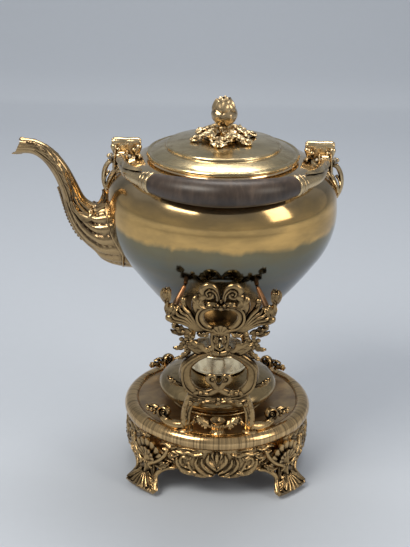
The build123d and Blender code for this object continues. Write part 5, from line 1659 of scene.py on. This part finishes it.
class KETTLE_OT_lamp(bpy.types.Operator):
    """Build the spirit lamp with its wick, snuffer cap and knob"""

    bl_idname = "kettle.lamp"
    bl_label = "Spirit lamp"

    def execute(self, context):
        sides = context.scene.kettle_body.sides
        finish = satin_plate("Lamp plate", (0.50, 0.36, 0.18), (0.28, 0.20, 0.10), (0.12, 0.09, 0.05), 0.2)
        bowl = [(0, 64), (34, 64), (42, 64.3), (46, 65.6), (49.5, 67.4), (52.2, 70), (53, 72.4), (52.4, 75),
            (50.6, 78), (46.5, 81.4), (40, 84.8), (32, 87.4), (26, 88.9), (14, 90), (9, 90)]
        inside = [(9, 88.5), (24, 87.4), (38, 83.6), (47.6, 78.4), (51.2, 73), (48, 68.2), (40, 66),
            (0, 65.5)]
        shell = Casting().add(turned(rounded(bowl, 2.4, 5) + rounded(inside, 2, 4), sides))
        place("lamp_body", shell, finish, "lamp", ("lamp_bowl", "lamp_dome"))
        foot = rounded([(34, ON_PLATE), (41.6, ON_PLATE), (42.8, 59.6), (41.6, 61), (39.8, 61.6),
            (39.6, 64.2), (34, 64.2), (34, ON_PLATE)], 0.8, 4)[1:]
        place("lamp_ring", Casting().add(turned(foot, sides, loop=True)), finish, "lamp", ("lamp_foot",))
        collar = rounded([(9, 90), (14.4, 90), (14.8, 91.4), (13.4, 92.4), (13.2, 94), (9, 94), (9, 90)],
            0.5, 3)[1:]
        place("lamp_neck", Casting().add(turned(collar, 64, loop=True)), finish, "lamp", ("lamp_collar",))
        finish_nodes(["wick_tube"], finish)
        finish_nodes(["wick"], wick_cotton())
        bright = satin_plate("Snuffer plate", (0.86, 0.74, 0.50), (0.62, 0.50, 0.31),
            (0.34, 0.27, 0.18), 0.18, 40)
        cap = [(23.8, 90.3), (25, 90.3), (25.6, 90.9), (25.2, 92), (25, 93), (25, 105.8), (24.6, 107.6),
            (23, 108.8), (20, 109.3), (2, 110.1), (2, 108.9), (20, 108.1), (22.6, 107.2), (23.8, 105.6),
            (23.8, 90.3)]
        place("snuffer_drum", Casting().add(turned(rounded(cap, 0.5, 3)[:-1], sides, loop=True)), bright,
            "snuffer", ("snuffer_cap",))
        knob = rounded([(0, 107.9), (2, 107.9), (2.4, 110.4), (1.8, 112), (3.6, 113.6), (4.3, 115.4),
            (3.8, 117.2), (2, 118.6), (0, 119)], 0.9, 4)
        place("snuffer_button", Casting().add(turned(knob, 32)), bright, "snuffer", ("snuffer_knob",))
        return {"FINISHED"}


# Stage

PHOTO_HEIGHT_PIXELS = 547.0
CAMERA_FOCAL_PIXELS = 1298.0
CAMERA_PITCH = 21.77
CAMERA_ROLL = 1.14
CAMERA_PLACE = (-0.01335, -1.0587, 0.6006)


class KETTLE_OT_stage(bpy.types.Operator):
    """Set the floor, the backdrop, the lights and the camera"""

    bl_idname = "kettle.stage"
    bl_label = "Stage"

    def execute(self, context):
        look = context.scene.kettle_stage
        shade = Shade("Stage paper", Roughness=0.85)
        paper = shade.noise(90.0, 4.0, 0.6)
        tone = tuple(look.floor)
        shade.set(Base_Color=shade.mix(shade.math("MULTIPLY", paper, 0.3), tone,
            tuple(0.9 * c for c in tone)))
        profile = [(-1.6, 0.0), (0.9, 0.0), (1.3, 0.03), (1.6, 0.13), (1.85, 0.34), (2.0, 0.62),
            (2.05, 1.0), (2.05, 2.4)]
        line = along_line([(y, z, 0.0) for y, z in profile], 60)
        mesh = bpy.data.meshes.new("floor_sweep")
        half_width = 2.6
        points = [(x, y, z) for y, z, _ in line for x in (-half_width, half_width)]
        faces = [(2 * i, 2 * i + 1, 2 * i + 3, 2 * i + 2) for i in range(len(line) - 1)]
        mesh.from_pydata(points, [], faces)
        for face in mesh.polygons:
            face.use_smooth = True
        mesh.materials.append(shade.material)
        floor = bpy.data.objects.new("floor_sweep", mesh)
        context.scene.collection.objects.link(floor)
        world = bpy.data.worlds.new("Studio")
        world.use_nodes = True
        context.scene.world = world
        sky = world.node_tree.nodes["Background"]
        sky.inputs["Color"].default_value = (0.90, 0.94, 1.0, 1)
        sky.inputs["Strength"].default_value = 0.35
        aim = Vector((0, 0, 0.2))
        for name, spot, size, power, colour in (
            ("key", (-0.9, -0.9, 1.5), (0.9, 0.7), look.key_power, (1.0, 0.95, 0.86)),
            ("fill", (1.3, -0.8, 0.9), (0.6, 0.9), look.key_power * 0.35, (1.0, 0.93, 0.82)),
            ("top", (0.1, 0.5, 1.7), (1.0, 0.6), look.key_power * 0.6, (1.0, 0.98, 0.95)),
        ):
            lamp = bpy.data.lights.new(name, "AREA")
            lamp.shape = "RECTANGLE"
            lamp.size, lamp.size_y = size
            lamp.energy = power
            lamp.color = colour
            obj = bpy.data.objects.new(name, lamp)
            obj.rotation_euler = (aim - Vector(spot)).to_track_quat("-Z", "Y").to_euler()
            obj.location = spot
            context.scene.collection.objects.link(obj)
        data = bpy.data.cameras.new("view")
        data.sensor_fit = "VERTICAL"
        data.sensor_height = 24.0
        data.lens = data.sensor_height * CAMERA_FOCAL_PIXELS / PHOTO_HEIGHT_PIXELS
        data.clip_end = 20.0
        camera = bpy.data.objects.new("view", data)
        pitch = Matrix.Rotation(math.radians(90 - CAMERA_PITCH), 4, "X")
        roll = Matrix.Rotation(math.radians(CAMERA_ROLL), 4, "Z")
        camera.matrix_world = Matrix.Translation(CAMERA_PLACE) @ pitch @ roll
        context.scene.collection.objects.link(camera)
        context.scene.camera = camera
        context.scene.view_settings.view_transform = "Standard"
        return {"FINISHED"}


STEPS = (
    KETTLE_OT_body, KETTLE_OT_spout, KETTLE_OT_brackets, KETTLE_OT_handle, KETTLE_OT_lid, KETTLE_OT_frames,
    KETTLE_OT_prongs, KETTLE_OT_base, KETTLE_OT_lamp, KETTLE_OT_stage,
)


GROUPS = (
    ("kettle_body", KettleLook), ("kettle_spout", SpoutLook), ("kettle_handle", HandleLook),
    ("kettle_stand", StandLook), ("kettle_stage", StageLook),
)


class KETTLE_PT_panel(bpy.types.Panel):
    """Lists the steps that build the kettle"""

    bl_idname = "KETTLE_PT_panel"
    bl_label = "Spirit Kettle"
    bl_space_type = "VIEW_3D"
    bl_region_type = "UI"
    bl_category = "Kettle"

    def draw(self, context):
        layout = self.layout
        for step in STEPS:
            layout.operator(step.bl_idname)
        for group, _ in GROUPS:
            box = layout.box()
            looks = getattr(context.scene, group)
            for name in looks.__annotations__:
                box.prop(looks, name)


def register():
    for name, group in GROUPS:
        bpy.utils.register_class(group)
        setattr(bpy.types.Scene, name, bpy.props.PointerProperty(type=group))
    for step in STEPS:
        bpy.utils.register_class(step)
    bpy.utils.register_class(KETTLE_PT_panel)


def unregister():
    bpy.utils.unregister_class(KETTLE_PT_panel)
    for step in reversed(STEPS):
        bpy.utils.unregister_class(step)
    for name, group in reversed(GROUPS):
        delattr(bpy.types.Scene, name)
        bpy.utils.unregister_class(group)


def main():
    register()
    for step in STEPS:
        group, name = step.bl_idname.split(".")
        getattr(getattr(bpy.ops, group), name)()


if __name__ == "__main__":
    main()
